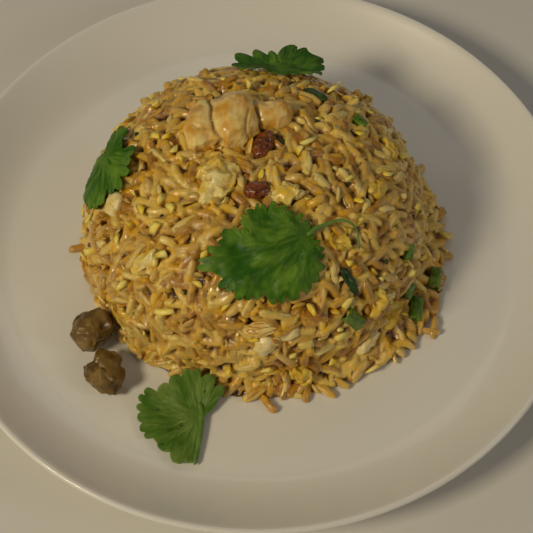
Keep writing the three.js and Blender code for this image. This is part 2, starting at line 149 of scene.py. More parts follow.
def add_node(tree, kind, inputs=(), **settings):
    """Adds a node to a tree, with its settings and its inputs."""
    node = tree.nodes.new(kind)
    for name, value in settings.items():
        setattr(node, name, value)
    give(node, inputs)
    return node


def unit(vectors):
    return vectors / np.linalg.norm(vectors, axis=-1)[..., None]


def round_turns(count):
    """Even angles all the way round, in radians."""
    return np.linspace(0, 2 * math.pi, count, endpoint=False)


def cell_random(cell, seed):
    """A repeatable number from 0 to 1 for each cell of a grid in space."""
    c = cell.astype(np.int64).astype(np.uint64)
    n = (c[..., 0] * 73856093) ^ (c[..., 1] * 19349663) ^ (c[..., 2] * 83492791) ^ np.uint64(seed * 97531 + 7)
    for shift, factor in ((15, 2246822519), (13, 3266489917)):
        n = (n ^ (n >> np.uint64(shift))) & np.uint64(0xFFFFFFFF)
        n = n * np.uint64(factor)
    n = (n ^ (n >> np.uint64(16))) & np.uint64(0xFFFFFFFF)
    return n / 4294967295.0


def noise(points, size, seed):
    """Smooth noise from -1 to 1, with bumps about size millimetres wide."""
    q = points / size
    cell = np.floor(q)
    part = q - cell
    ease = part * part * (3 - 2 * part)
    total = np.zeros(len(points))
    for corner in np.ndindex(2, 2, 2):
        share = np.prod(np.where(corner, ease, 1 - ease), axis=-1)
        total += share * cell_random(cell + corner, seed)
    return total * 2 - 1


def three_noises(points, size, seed):
    """A noise for each of a point's coordinates."""
    return np.stack([noise(points, size, seed + k) for k in range(3)], axis=-1)


def crease_gap(points, size, seed):
    """How far each point lies from the creases between lumps about size millimetres wide."""
    q = points / size
    cell = np.floor(q)
    nearest = np.full(len(points), 9.0)
    second = np.full(len(points), 9.0)
    for step in np.ndindex(3, 3, 3):
        near = cell + step - 1
        middle = near + np.stack([cell_random(near, seed + k) for k in range(3)], axis=-1)
        away = np.linalg.norm(middle - q, axis=-1)
        second = np.minimum(second, np.maximum(away, nearest))
        nearest = np.minimum(nearest, away)
    return (second - nearest) * size


def terraces(values, steps):
    """Turns smooth slopes into flakes with flat tops and short edges."""
    level = values * steps
    low = np.floor(level)
    rise = np.clip((level - low) / 0.3, 0, 1)
    return (low + rise * rise * (3 - 2 * rise)) / steps


def new_object(name, mesh, materials=()):
    obj = bpy.data.objects.new(name, mesh)
    bpy.context.scene.collection.objects.link(obj)
    for material in materials:
        mesh.materials.append(material)
    return obj


def store(mesh, key, values):
    """Keeps a number per point in the mesh for its material."""
    layer = mesh.attributes.get(key) or mesh.attributes.new(key, "FLOAT", "POINT")
    layer.data.foreach_set("value", np.asarray(values, np.float32))


def mesh_from(name, points, faces, attributes=None):
    """A smooth-shaded mesh from points in millimetres, with a number per point for each attribute."""
    mesh = bpy.data.meshes.new(name)
    mesh.from_pydata((np.asarray(points) * MM).tolist(), [], [tuple(face) for face in faces])
    mesh.shade_smooth()
    for key, values in (attributes or {}).items():
        store(mesh, key, values)
    return mesh


def disc_faces(rows, sides):
    """The faces of a disc: rows of points, numbered from 1, round point 0."""
    faces = []
    for side in range(sides):
        after = (side + 1) % sides
        faces.append((0, 1 + side, 1 + after))
        for low in range(1, (rows - 1) * sides, sides):
            faces.append((low + side, low + sides + side, low + sides + after, low + after))
    return faces


def tube_faces(rows, sides):
    """The faces of a closed tube: a disc drawn out, with a last point at its far end."""
    low = 1 + (rows - 1) * sides
    ends = [(low + side, low + sides, low + (side + 1) % sides) for side in range(sides)]
    return disc_faces(rows, sides) + ends


def plain_mesh(obj):
    """The object's finished mesh, with its modifiers taken in."""
    bpy.context.view_layer.update()
    evaluated = obj.evaluated_get(bpy.context.evaluated_depsgraph_get())
    return bpy.data.meshes.new_from_object(evaluated)


def triples(source, field):
    """Three numbers for each item of a mesh's data."""
    values = np.zeros(len(source) * 3, np.float32)
    source.foreach_get(field, values)
    return values.reshape(-1, 3).astype(float)


def mesh_points(mesh):
    """The mesh's points in millimetres."""
    return triples(mesh.vertices, "co") / MM


def mesh_normals(mesh):
    return triples(mesh.vertex_normals, "vector")


def move_points(mesh, points):
    """Moves the mesh's points to places in millimetres."""
    mesh.vertices.foreach_set("co", (points * MM).ravel())
    mesh.update()


def evened(mesh, points, passes):
    """The mesh's points, each drawn to the middle of its neighbours passes times over."""
    edges = np.zeros(len(mesh.edges) * 2, np.int32)
    mesh.edges.foreach_get("vertices", edges)
    first, second = edges.reshape(-1, 2).T
    count = len(points)
    neighbours = np.bincount(first, minlength=count) + np.bincount(second, minlength=count)
    for _ in range(passes):
        total = [
            np.bincount(first, points[second, k], count) + np.bincount(second, points[first, k], count)
            for k in range(3)
        ]
        points = np.stack(total, axis=-1) / np.maximum(neighbours, 1)[:, None]
    return points


def hollows(mesh, passes):
    """How far each point lies below the average of its surroundings, in millimetres. More passes look
    further."""
    points = mesh_points(mesh)
    return ((evened(mesh, points, passes) - points) * mesh_normals(mesh)).sum(axis=-1)


def on_plate(piece, slot, *nodes):
    """The piece is carried by the plate's body and stands for the nodes. slot is not used."""
    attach(piece, "root")
    if nodes:
        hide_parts(*nodes)


# ---- the heap's form, in its own frame


def mound_distance(p):
    """About how far each point lies outside the heap's surface."""
    n = DOME["squareness"]
    flat = np.hypot(p[..., 0] - DOME["x"], p[..., 1] - DOME["y"]) / DOME["radius"]
    high = np.maximum(p[..., 2], 0) / DOME["height"]
    parts = [((flat**n + high**n) ** (1 / n) - 1) * DOME["height"]]
    for lobe in (SKIRT, SPILL, SHOULDER):
        away = (p - np.array(lobe["middle"])) / np.array(lobe["reach"])
        parts.append((np.linalg.norm(away, axis=-1) - 1) * lobe["softness"])
    parts = np.stack(parts)
    nearest = parts.min(axis=0)
    return nearest - np.log(np.exp(BLEND * (nearest - parts)).sum(axis=0)) / BLEND


def mound_slope(p, reach=0.2):
    """The way that the heap's surface faces near each point, and how fast mound_distance grows that way."""
    steps = np.eye(3) * reach
    slope = np.stack([mound_distance(p + s) - mound_distance(p - s) for s in steps], axis=-1) / (2 * reach)
    steep = np.linalg.norm(slope, axis=-1)
    return slope / steep[..., None], steep


def surface_toward(places):
    """The heap's surface in the direction of each place from the middle of its foot, and its facing there."""
    ray = np.array(places, float)
    ray[..., 2] = np.maximum(ray[..., 2], 0)
    ray = unit(ray)
    inside = np.full(ray.shape[:-1], 20.0)
    outside = np.full(ray.shape[:-1], 90.0)
    for _ in range(24):
        middle = (inside + outside) / 2
        within = mound_distance(ray * middle[..., None]) < 0
        inside = np.where(within, middle, inside)
        outside = np.where(within, outside, middle)
    points = ray * inside[..., None]
    return points, mound_slope(points)[0]


def direction(azimuth, elevation):
    """Unit directions from angles in degrees."""
    a, e = np.broadcast_arrays(np.radians(azimuth), np.radians(elevation))
    return np.stack([np.cos(e) * np.cos(a), np.cos(e) * np.sin(a), np.sin(e)], axis=-1)


def in_plane(outward, heading):
    """A direction along the surface: the plate's x drawn onto it, turned by heading in degrees."""
    across = unit(np.array([1.0, 0, 0]) - outward * outward[..., :1])
    turn = np.radians(heading)[..., None]
    return across * np.cos(turn) + np.cross(outward, across) * np.sin(turn)


# ---- materials

# The colours of the rice. Pale is the grains' own colour, under amber stains and golden egg. The crease colour
# is painted shade where grains lie deep in gaps. The deepest colour is painted shade in holes, and it is also
# the colour of browned spots.
RICE_PALE = "#E8CA68"
RICE_AMBER = "#AE760C"
RICE_GOLDEN = "#F0BE10"
# Painted shade in creases, then in holes; the holes' colour also marks browned spots.
RICE_CREASE_SHADE = "#8C5206"
RICE_BROWN_AND_HOLE_SHADE = "#321202"


def new_material(name):
    """A material, its shader and the function that adds nodes to it."""
    material = bpy.data.materials.new(name)
    material.use_nodes = True
    tree = material.node_tree
    return material, tree.nodes["Principled BSDF"], partial(add_node, tree)


def rice_material(name, pale, amber, soft):
    """Cooked rice and what sticks it together: a translucent starch body stained by soy sauce, under a film
    of oil. The eye sees pale grains with amber stains and browned spots, painted shade from amber to brown
    in the creases and dark in a few holes, and small wet glints."""
    material, shader, add = new_material(name)
    place = add("ShaderNodeTexCoord").outputs["Object"]
    tint = add("ShaderNodeAttribute", attribute_name="tint").outputs["Fac"]
    # depth: 0 at the heap's surface to 1 deep in gaps; the painted shade below follows it.
    depth = add("ShaderNodeAttribute", attribute_name="depth").outputs["Fac"]
    patches = add("ShaderNodeTexNoise", [place, 1 / (10 * MM), 2.0])
    yolk = add("ShaderNodeTexNoise", [place, 1 / (5 * MM), 5.0, 0.65])
    browned = add(
        "ShaderNodeTexNoise", {"Vector": place, "Scale": 1 / (2.6 * MM), "Detail": 4.0, "Distortion": 0.6}
    )
    film = add("ShaderNodeTexNoise", [place, 1 / (3 * MM), 2.0])
    starch = add("ShaderNodeTexNoise", [place, 1 / (0.9 * MM), 3.0])
    stain = add("ShaderNodeMath", [tint, patches], operation="MULTIPLY")
    # Where the painted shade turns dark in holes: deep in a gap, where the browned noise is high.
    hole = add("ShaderNodeMath", [browned, depth], operation="MULTIPLY")
    colour = pale
    # What each layer of colour follows, from where to where it comes in, how much it covers and its colour.
    for mask, start, full, cover, layer in (
        (stain, 0.08, 0.46, 0.95, amber),
        (yolk, 0.5, 0.64, 0.8, RICE_GOLDEN),
        (browned, 0.56, 0.8, 0.5, RICE_BROWN_AND_HOLE_SHADE),
        # The last two layers are painted shade: amber-brown with depth in creases, near black in holes.
        (depth, 0.2, 0.7, 0.8, RICE_CREASE_SHADE),
        (hole, 0.34, 0.5, 0.95, RICE_BROWN_AND_HOLE_SHADE),
    ):
        share = add("ShaderNodeMapRange", [mask, start, full, 0.0, cover])
        colour = add("ShaderNodeMix", [share, colour, layer], data_type="RGBA")
    finish = {
        "Base Color": colour,
        "Roughness": add("ShaderNodeMapRange", [film, 0.35, 0.65, 0.52, 0.26]),
        "Normal": add("ShaderNodeBump", {"Height": starch, "Strength": 0.3, "Distance": 0.3 * MM}),
        "Coat Normal": add("ShaderNodeBump", {"Height": browned, "Strength": 1.0, "Distance": 0.8 * MM}),
        "IOR": 1.42,
        "Coat Weight": 1.0,
        "Coat Roughness": 0.05,
        "Subsurface Weight": soft,
        "Subsurface Radius": (1.0, 0.88, 0.5),
        "Subsurface Scale": 0.9 * MM,
    }
    give(shader, finish)
    return material


def flesh_material(name, light, warm, deep, gloss=0.36, sheen_size=2.6, soft=0.0, wet=0.3):
    """A moist cooked food with relief: its creases, marked by the crease attribute, take on the deep colour as
    painted shade, and warm patches come and go over it."""
    material, shader, add = new_material(name)
    place = add("ShaderNodeTexCoord").outputs["Object"]
    crease = add("ShaderNodeAttribute", attribute_name="crease").outputs["Fac"]
    patches = add("ShaderNodeTexNoise", [place, 1 / (sheen_size * 2 * MM), 3.0])
    warmth = add("ShaderNodeMapRange", [patches, 0.36, 0.64, 0.0, 1.0])
    body = add("ShaderNodeMix", [warmth, light, warm], data_type="RGBA")
    fibre = add("ShaderNodeTexNoise", [place, 1 / (0.7 * MM), 3.0])
    film = add("ShaderNodeTexNoise", [place, 1 / (sheen_size * MM), 2.0])
    finish = {
        # Painted shade: the deep colour fills the creases.
        "Base Color": add("ShaderNodeMix", [crease, body, deep], data_type="RGBA"),
        "Roughness": add("ShaderNodeMapRange", [film, 0.35, 0.65, gloss + 0.12, gloss - 0.12]),
        "Normal": add("ShaderNodeBump", {"Height": fibre, "Strength": 0.4, "Distance": 0.25 * MM}),
        "IOR": 1.42,
        "Coat Weight": wet,
        "Coat Roughness": 0.18,
        "Subsurface Weight": soft,
        "Subsurface Radius": (1.0, 0.95, 0.7),
        "Subsurface Scale": 0.8 * MM,
    }
    give(shader, finish)
    return material


def leaf_material(name, blade, light, vein):
    """A fresh coriander leaf: a thin blade with a dull waxy skin, a painted highlight in the light colour where
    it arches up between its veins, and pale fine veins that run from the stalk to the teeth."""
    material, shader, add = new_material(name)
    place = add("ShaderNodeTexCoord").outputs["Object"]
    veins = add("ShaderNodeAttribute", attribute_name="vein").outputs["Fac"]
    arch_highlight = add("ShaderNodeAttribute", attribute_name="arch_highlight").outputs["Fac"]
    faint = add("ShaderNodeMath", [veins, 0.3], operation="MULTIPLY")
    mottle = add("ShaderNodeTexNoise", [place, 1 / (5 * MM), 4.0])
    # Painted highlight where the blade arches up, broken up by mottle.
    lit = add("ShaderNodeMath", [arch_highlight, mottle], operation="MULTIPLY")
    body = add("ShaderNodeMix", [lit, blade, light], data_type="RGBA")
    cells = add("ShaderNodeTexVoronoi", [place, 1 / (0.8 * MM)])
    finish = {
        "Base Color": add("ShaderNodeMix", [faint, body, vein], data_type="RGBA"),
        "Normal": add("ShaderNodeBump", {"Height": cells, "Strength": 0.25, "Distance": 0.15 * MM}),
        "Roughness": 0.45,
        "Specular IOR Level": 0.3,
        "IOR": 1.4,
        "Subsurface Weight": 0.12,
        "Subsurface Radius": (0.4, 1.0, 0.15),
        "Subsurface Scale": 0.6 * MM,
    }
    give(shader, finish)
    return material


def glaze_material():
    """White stoneware under a clear gloss glaze: even and bright, with the faint waviness of a dipped
    glaze."""
    material, shader, add = new_material("white glazed stoneware")
    place = add("ShaderNodeTexCoord").outputs["Object"]
    waves = add("ShaderNodeTexNoise", [place, 1 / (22 * MM), 1.0])
    specks = add("ShaderNodeTexNoise", [place, 1 / (1.6 * MM), 2.0])
    speckled = add("ShaderNodeMapRange", [specks, 0.68, 0.8, 0.0, 0.12])
    finish = {
        "Base Color": add("ShaderNodeMix", [speckled, "#EDEBE5", "#B9AE98"], data_type="RGBA"),
        "Coat Normal": add("ShaderNodeBump", {"Height": waves, "Strength": 0.1, "Distance": 0.6 * MM}),
        "Roughness": 0.35,
        "Coat Weight": 0.8,
        "Coat Roughness": 0.08,
    }
    give(shader, finish)
    return material


def bisque_material():
    """Unglazed stoneware, left bare where the foot stood in the kiln: matt, warm grey and finely gritty."""
    material, shader, add = new_material("bare stoneware foot")
    place = add("ShaderNodeTexCoord").outputs["Object"]
    grit = add("ShaderNodeTexNoise", [place, 1 / (0.6 * MM), 3.0])
    finish = {
        "Base Color": add("ShaderNodeMix", [grit, "#C9BFAE", "#B3A792"], data_type="RGBA"),
        "Normal": add("ShaderNodeBump", {"Height": grit, "Strength": 0.5, "Distance": 0.1 * MM}),
        "Roughness": 0.85,
    }
    give(shader, finish)
    return material


def water_material():
    """A bead of clear water."""
    material, shader, _ = new_material("water drop")
    give(shader, {"Base Color": "#FFFFFF", "Roughness": 0.02, "IOR": 1.333, "Transmission Weight": 1.0})
    return material


def table_material():
    """A plain pale table top."""
    material, shader, add = new_material("pale table top")
    place = add("ShaderNodeTexCoord").outputs["Object"]
    tone = add("ShaderNodeTexNoise", [place, 1 / (60 * MM), 2.0])
    colour = add("ShaderNodeMix", [tone, "#D9D7D2", "#E0DED9"], data_type="RGBA")
    give(shader, {"Base Color": colour, "Roughness": 0.7})
    return material


MASS = rice_material("sticky fried rice", RICE_PALE, RICE_AMBER, soft=1.0)
RICE = rice_material("fried long-grain rice", "#EED684", "#C28E22", soft=0.6)

# Cooked food: its light and warm colours, the deep colour of the painted shade in its creases, and what
# differs from the usual gloss, wetness and sheen.
CHICKEN = flesh_material(
    "stir-fried chicken", "#FFE698", "#DEA83C", "#744010", gloss=0.34, sheen_size=3, soft=0.6, wet=0.5
)
# The loose chicken on the plate is given much darker colours than the chicken on top.
DARK_CHICKEN = flesh_material(
    "dark loose chicken", "#846A32", "#54390F", "#281804", gloss=0.45, sheen_size=3.4, wet=0.2
)
EGG = flesh_material("scrambled egg", "#F4E49C", "#ECC53A", "#B07C1C")
YOLK = flesh_material("scrambled egg yolk", "#ECCE5A", "#D8AC24", "#96680E")
YOLK_BITS = flesh_material("bits of egg yolk", "#FFF08E", "#FADA3C", "#CC9226", sheen_size=2.2)
EGG_WHITE = flesh_material("scrambled egg white", "#F4E6B4", "#EBD078", "#B08030", sheen_size=1.8)
BROWNED = flesh_material(
    "browned crisp bit", "#92481A", "#5C280C", "#200A02", gloss=0.26, sheen_size=1.2, wet=0.8
)
ONION = flesh_material(
    "wilted spring onion", "#6E8A1E", "#42680C", "#202E06", gloss=0.34, sheen_size=1.4, soft=0.1
)
SHRED = flesh_material(
    "wilted dark leaf", "#2F5212", "#1C360C", "#0E1A06", gloss=0.34, sheen_size=1.6, soft=0.1
)
STALK = flesh_material("coriander stalk", "#6E9440", "#557C2C", "#3D5C1E", gloss=0.4, sheen_size=2, soft=0.2)
# Each leaf's second colour is its painted highlight.
LEAF = leaf_material("fresh coriander leaf", "#2C5E0A", "#8CB23A", "#7F9E44")
# The front leaf's colours are paler and greyer all over: a painted sheen of its wet skin.
WET_SHEEN_LEAF = leaf_material("wet coriander leaf", "#4A701E", "#96A858", "#8CA45A")

# ---- the plate

LIP = 1.2
RIM_CURVE = 1.7  # above 1, the rim turns up more and more towards the lip
PLATE_SIDES = 144


def plate_profile():
    """The plate's section from the middle of its well, over the lip and down to the foot, and which of the
    stretches that follow its points are bare of glaze."""

    def sweep(share, drop):
        radius = WELL_RADIUS + (PLATE_RADIUS - LIP - WELL_RADIUS) * share
        return radius, WELL_HEIGHT + (RIM_HEIGHT - WELL_HEIGHT) * share**RIM_CURVE - drop

    points = [(30.0, WELL_HEIGHT), (WELL_RADIUS - 8, WELL_HEIGHT), (WELL_RADIUS - 2, WELL_HEIGHT + 0.02)]
    points += [sweep(share, 0) for share in np.linspace(0.04, 0.97, 16)]
    for turn in np.radians(np.linspace(75, -60, 8)):
        points.append((PLATE_RADIUS - LIP + LIP * math.cos(turn), RIM_HEIGHT - LIP + LIP * math.sin(turn)))
    points += [sweep(share, PLATE_THICKNESS) for share in np.linspace(0.86, 0.05, 12)]
    under = WELL_HEIGHT - PLATE_THICKNESS
    outer, inner = FOOT_RADIUS + FOOT_WIDTH / 2, FOOT_RADIUS - FOOT_WIDTH / 2
    points += [(outer + 3, under), (outer + 1.2, under - 0.3), (outer + 0.3, under - 1.2)]
    bare_from = len(points)
    points += [(outer, 0.5), (outer - 0.5, 0.0), (inner + 0.5, 0.0), (inner, 0.5)]
    bare = range(bare_from, len(points) - 1)
    points += [(inner - 0.4, FOOT_HEIGHT - 0.6), (inner - 1.4, FOOT_HEIGHT), (20.0, FOOT_HEIGHT)]
    return points, bare


def build_plate():
    profile, bare = plate_profile()
    turns = round_turns(PLATE_SIDES)
    rings = [
        np.column_stack([radius * np.cos(turns), radius * np.sin(turns), np.full(PLATE_SIDES, height)])
        for radius, height in profile
    ]
    points = np.concatenate([[(0, 0, WELL_HEIGHT)], *rings, [(0, 0, FOOT_HEIGHT)]])
    mesh = mesh_from("stoneware_plate", points, tube_faces(len(profile), PLATE_SIDES))
    plate = new_object("stoneware_plate", mesh, [glaze_material(), bisque_material()])
    for face in mesh.polygons:
        row = (min(face.vertices) - 1) // PLATE_SIDES
        face.material_index = 1 if row in bare else 0
    on_plate(plate, "glaze", "plate")


build_plate()

# ---- toppings made from their solids

FULLER = 1.3  # how much each of the solids that are joined to one is swelled first


def softened_form(nodes, voxel, passes, closing):
    """A copy of one or more nodes' solids as one even mesh with its facets worn away, and of the same extent.
    Gaps between them that are narrower than twice closing are filled, and each solid is a little fuller."""
    points, faces = [], []
    fuller = FULLER if len(nodes) > 1 else 1.0
    for node in nodes:
        source = frame["nodes"][node].data
        first = len(points)
        places = mesh_points(source)
        away = places - (places.max(axis=0) + places.min(axis=0)) / 2
        points.extend(places + (fuller - 1) * away + closing * unit(away))
        faces.extend(tuple(first + v for v in face.vertices) for face in source.polygons)
    low = np.min([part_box(node)[0] for node in nodes], axis=0) / MM
    high = np.max([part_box(node)[1] for node in nodes], axis=0) / MM
    carrier = new_object(nodes[0] + "_form", mesh_from(nodes[0] + "_form", points, faces))
    even = carrier.modifiers.new("even", "REMESH")
    even.mode = "VOXEL"
    even.voxel_size = voxel * MM
    worn = carrier.modifiers.new("worn", "SMOOTH")
    worn.factor = 0.5
    worn.iterations = passes
    mesh = plain_mesh(carrier)
    bpy.data.objects.remove(carrier)
    points = evened(mesh, mesh_points(mesh) - closing * mesh_normals(mesh), round(4 * closing))
    span = points.max(axis=0) - points.min(axis=0)
    move_points(mesh, (points - points.min(axis=0)) / span * (high - low) + low)
    return mesh


def dress(nodes, slot, material, relief, voxel, passes, deep_at, ragged=0.0, closing=0.0):
    """Stands a piece of real food in for one or more nodes: their form, ragged by some millimetres, with a
    relief of its own. Its creases get painted shade: where it lies deep_at millimetres below its
    surroundings, the crease attribute is 1."""
    mesh = softened_form(nodes, voxel, passes, closing)
    points = mesh_points(mesh)
    torn = three_noises(points, 4.2, 81) + 0.5 * three_noises(points, 1.8, 81)
    move_points(mesh, points + mesh_normals(mesh) * relief(points)[:, None] + ragged * torn)
    # The crease attribute marks where the material paints shade.
    store(mesh, "crease", np.clip(hollows(mesh, 14) / deep_at, 0, 1))
    mesh.materials.clear()
    mesh.shade_smooth()
    on_plate(new_object(nodes[0] + "_piece", mesh, [material]), slot, *nodes)


# Where the big piece of chicken creases, seen from above: points along each crease, its depth and its width.
CHICKEN_CREASES = [
    ([(-15.5, 25), (-14.9, 22), (-13.9, 16.3), (-14.3, 12.1), (-13.4, 7.9), (-11.5, 2.7), (-10, -1)], 1.3, 0.6),
    ([(-6.3, 26), (-1.5, 21), (0.4, 15.2), (1.4, 10.6), (2.6, 6)], 1.3, 0.6),
    ([(-2.6, 13.1), (-3.2, 9.5), (-2.3, 5)], 0.5, 0.5),
    ([(-20, 9), (-17.5, 7.2), (-15, 7.5)], 0.4, 0.6),
]


def creases_at(points, creases):
    """How deep the drawn creases are at each point."""
    deep = np.zeros(len(points))
    for path, depth, width in creases:
        path = np.array(path, float)
        steps = np.linspace(0, len(path) - 1, 12 * len(path))
        line = np.stack([np.interp(steps, np.arange(len(path)), path[:, k]) for k in (0, 1)], axis=-1)
        away = np.linalg.norm(points[:, None, :2] - line[None], axis=-1).min(axis=1)
        deep = np.maximum(deep, depth * np.exp(-((away / width) ** 2)))
    return deep


def chicken_relief(points, seed, fibre_way=(0.2, 0.9, 0.4), creases=()):
    """Torn breast meat: broad soft lumps with fine fibres that run one way, and creases where it folds."""
    way = unit(np.array(fibre_way))
    drawn = points - np.outer(points @ way, way) * 0.75
    bent = points + 0.8 * three_noises(points, 4, seed + 5)
    lumps = 0.7 * noise(points, 8, seed + 3) + 0.35 * noise(drawn, 3.4, seed + 1)
    lumps += 0.15 * noise(points, 1.7, seed)
    return lumps + 0.12 * noise(drawn, 0.9, seed + 2) - creases_at(bent, creases)


def curd_relief(points, seed, fold=2.4, depth=0.9):
    """Scrambled egg: a soft torn sheet, folded and ragged."""
    bent = points + 1.3 * three_noises(points, 2.6, seed + 5)
    flakes = 1.2 * terraces(noise(bent, fold * 1.6, seed + 1), 2)
    flakes += 0.6 * terraces(noise(bent, 2.0, seed + 8), 2)
    folds = 1 - 2 * np.abs(noise(bent, fold, seed + 4))
    return depth * (flakes + 0.4 * folds) + 0.12 * noise(points, 0.8, seed + 3)


def wrinkle_relief(points, seed):
    """A crisp fried scrap: sharp small wrinkles and dark pits."""
    folds = 1 - np.abs(noise(points, 1.7, seed)) * 2
    return 0.4 * folds + 0.16 * noise(points, 0.8, seed + 1)


def limp_relief(points, seed):
    """Wilted greens: a slack skin with shallow folds."""
    return 0.22 * noise(points, 2.2, seed) + 0.08 * noise(points, 0.9, seed + 1)


def shred_relief(points, seed):
    """Shredded meat: a bundle of strands that part here and there."""
    drawn = points * (0.2, 1, 1) + 0.5 * noise(points, 5, seed)[:, None]
    strands = np.exp(-((crease_gap(drawn, 1.7, seed + 1) / 0.35) ** 2))
    return 0.3 * noise(points, 3, seed + 2) - 0.55 * strands


CHICKEN_CLUSTER = ["chicken_large", "chicken_front_lobe", "chicken_back_lobe"]
YOLK_PIECES = (
    "egg_lower_right", "egg_foot_right", "egg_foot_front", "egg_rim_right", "egg_under_stem", "egg_right",
)
LOOSE_RELIEF = partial(chicken_relief, fibre_way=(1, 0.2, 0.1))
WHITE_RELIEF = partial(curd_relief, fold=4, depth=0.3)

# How toppings are dressed, by how their names start: slot, material, relief and its seed, then the voxels'
# size, the passes that wear them down, the depth at which the painted shade of a crease is full and how
# ragged the piece is.
DRESSING = {
    "chicken_shred": ("chicken", CHICKEN, shred_relief, 100, 0.3, 4, 0.25, 0.0),
    "chicken_loose": ("chicken", DARK_CHICKEN, LOOSE_RELIEF, 140, 0.36, 9, 1.2, 1.4),
    "egg_white": ("egg_white", EGG_WHITE, WHITE_RELIEF, 200, 0.33, 2, 0.4, 0.7),
    YOLK_PIECES: ("egg", YOLK, curd_relief, 200, 0.3, 3, 0.6, 1.5),
    "egg": ("egg", EGG, curd_relief, 200, 0.3, 3, 0.6, 1.5),
    "browned": ("browned", BROWNED, wrinkle_relief, 300, 0.25, 8, 0.3, 0.0),
    "green": ("leaf", SHRED, limp_relief, 400, 0.28, 5, 0.3, 0.0),
    "onion": ("spring_onion", ONION, limp_relief, 500, 0.22, 5, 0.4, 0.0),
}


def dress_toppings():
    relief = partial(chicken_relief, seed=103, creases=CHICKEN_CREASES)
    dress(CHICKEN_CLUSTER, "chicken", CHICKEN, relief, voxel=0.42, passes=12, deep_at=1.0, closing=2.2)
    for number, node in enumerate(sorted(frame["nodes"])):
        start = next((start for start in DRESSING if node.startswith(start)), None)
        if start:
            slot, material, relief, seed, *sizes = DRESSING[start]
            dress([node], slot, material, partial(relief, seed=seed + number), *sizes)


dress_toppings()

# ---- coriander leaves

# Each outline is polar about the leaf's middle, in degrees and millimetres: tips of teeth and lobes, and
# cuts, which are the deeper notches and plain stretches of edge. The hub is where the stalk meets the blade.
CENTRE_LEAF = {
    "tips": [
        (5, 19.6), (13.6, 18.7), (18.5, 17.3), (34, 17.9), (45.3, 17.6), (53.6, 16.4), (63.6, 16.6),
        (76.5, 16.7), (88.5, 15.2), (93.5, 15.9), (106.5, 14.5), (117, 13.5), (122, 11.8), (128, 10),
        (134.8, 12), (147, 14), (163, 13.7), (171.5, 16.4), (185, 19.6), (189.5, 20.2), (217, 16.5),
        (224, 15.6), (242, 15.5), (252, 14.3), (262, 13.5), (284, 15.5), (293, 16.2), (306, 17.4),
        (323.5, 18.5), (337.2, 19.3), (348, 20.1), (359.1, 19.5),
    ],
    "cuts": [
        (24.5, 14.8), (81.5, 12.6), (98, 13.6), (124.8, 9.3), (139.5, 11.2), (156.5, 12.4), (180.5, 13.3),
        (197, 16.2), (203, 14.5), (210, 13.4), (229, 13.3), (235, 14.2), (269.5, 11.2), (277, 12.9),
        (316.5, 15.2), (330, 17.6), (343.5, 17.3),
    ],
    "hub": (14.1, 6.2),
    "lobes": [(7, 12), (60, 11), (110, 11), (165, 12), (190, 14), (235, 11), (285, 11), (325, 11)],
    "fold": [(-6, 8.2), (-3.9, 7.6), (-0.5, 5.3), (4.5, 3.7), (10.6, 5.7), (14.1, 6.2)],
}
LEFT_LEAF = {
    "tips": [
        (50, 13.6), (64, 14.6), (87, 14.9), (215, 14.8), (233, 15.4), (250, 15.6), (262, 15.2), (284, 14.2),
        (295, 15.3), (318, 14.3), (331, 12.9), (352, 13.2),
    ],
    "cuts": [
        (12, 7.8), (35, 9.4), (75, 11.6), (96, 8.6), (108, 7.2), (126, 8.4), (156, 10.2), (175, 11.4),
        (188, 13.4), (274, 9.0), (307, 10.8), (342, 11.6),
    ],
    "hub": (1, 3),
    "notch": 0.9,
    "lobes": [(58, 9), (88, 9), (225, 9), (255, 9), (290, 9), (322, 9), (352, 8)],
}
BACK_LEAF = {
    "tips": [
        (8, 16.2), (22, 16.6), (38, 11.6), (52, 9.2), (118, 5.2), (150, 9.2), (170, 14.2), (188, 15.4),
        (205, 14), (222, 11.6), (245, 9), (268, 8), (290, 8.4), (312, 10.4), (330, 13.4), (348, 15.6),
    ],
    "cuts": [(15, 14.2), (30, 12.6), (92, 2.8)],
    "hub": (1, -6),
    "lobes": [(20, 10), (45, 8), (150, 7), (180, 10), (210, 9), (330, 9)],
}
FRONT_LEAF = {
    "x": -23.5,
    "y": -68,
    "tips": [
        (42, 16.5), (59, 17.3), (76, 17.1), (87, 16.7), (102, 15.3), (123, 14.4), (139, 16.8), (149, 17.2),
        (160, 16.4), (171, 15.3), (188, 14.4), (201, 13.5), (231, 11.8), (263, 14), (277, 13.8),
    ],
    "cuts": [
        (0, 4.4), (18, 6.4), (30, 10.6), (36, 13.4), (51, 14.2), (70, 14.7), (208, 11.2), (219, 11),
        (246, 10.9), (291, 10.6), (318, 5.6),
    ],
    "hub": (4.4, 2),
    "notch": 0.93,
    "lobes": [(60, 11), (85, 11), (135, 11), (165, 10), (200, 9), (250, 9), (270, 9)],
}
LEAN_START = 7  # how far up the front leaf from its middle it begins to climb the heap
LEAN_SLOPE = 0.95
FLAT_LIFT = 0.6
ORDINARY_NOTCH = 0.85
ROUNDING = 3.0  # above 1, the teeth are rounded and the notches between them narrow
BLADE = 0.34
FOLD_HEIGHT = 1.1  # how far a lobe that lies over its neighbour stands up along its edge


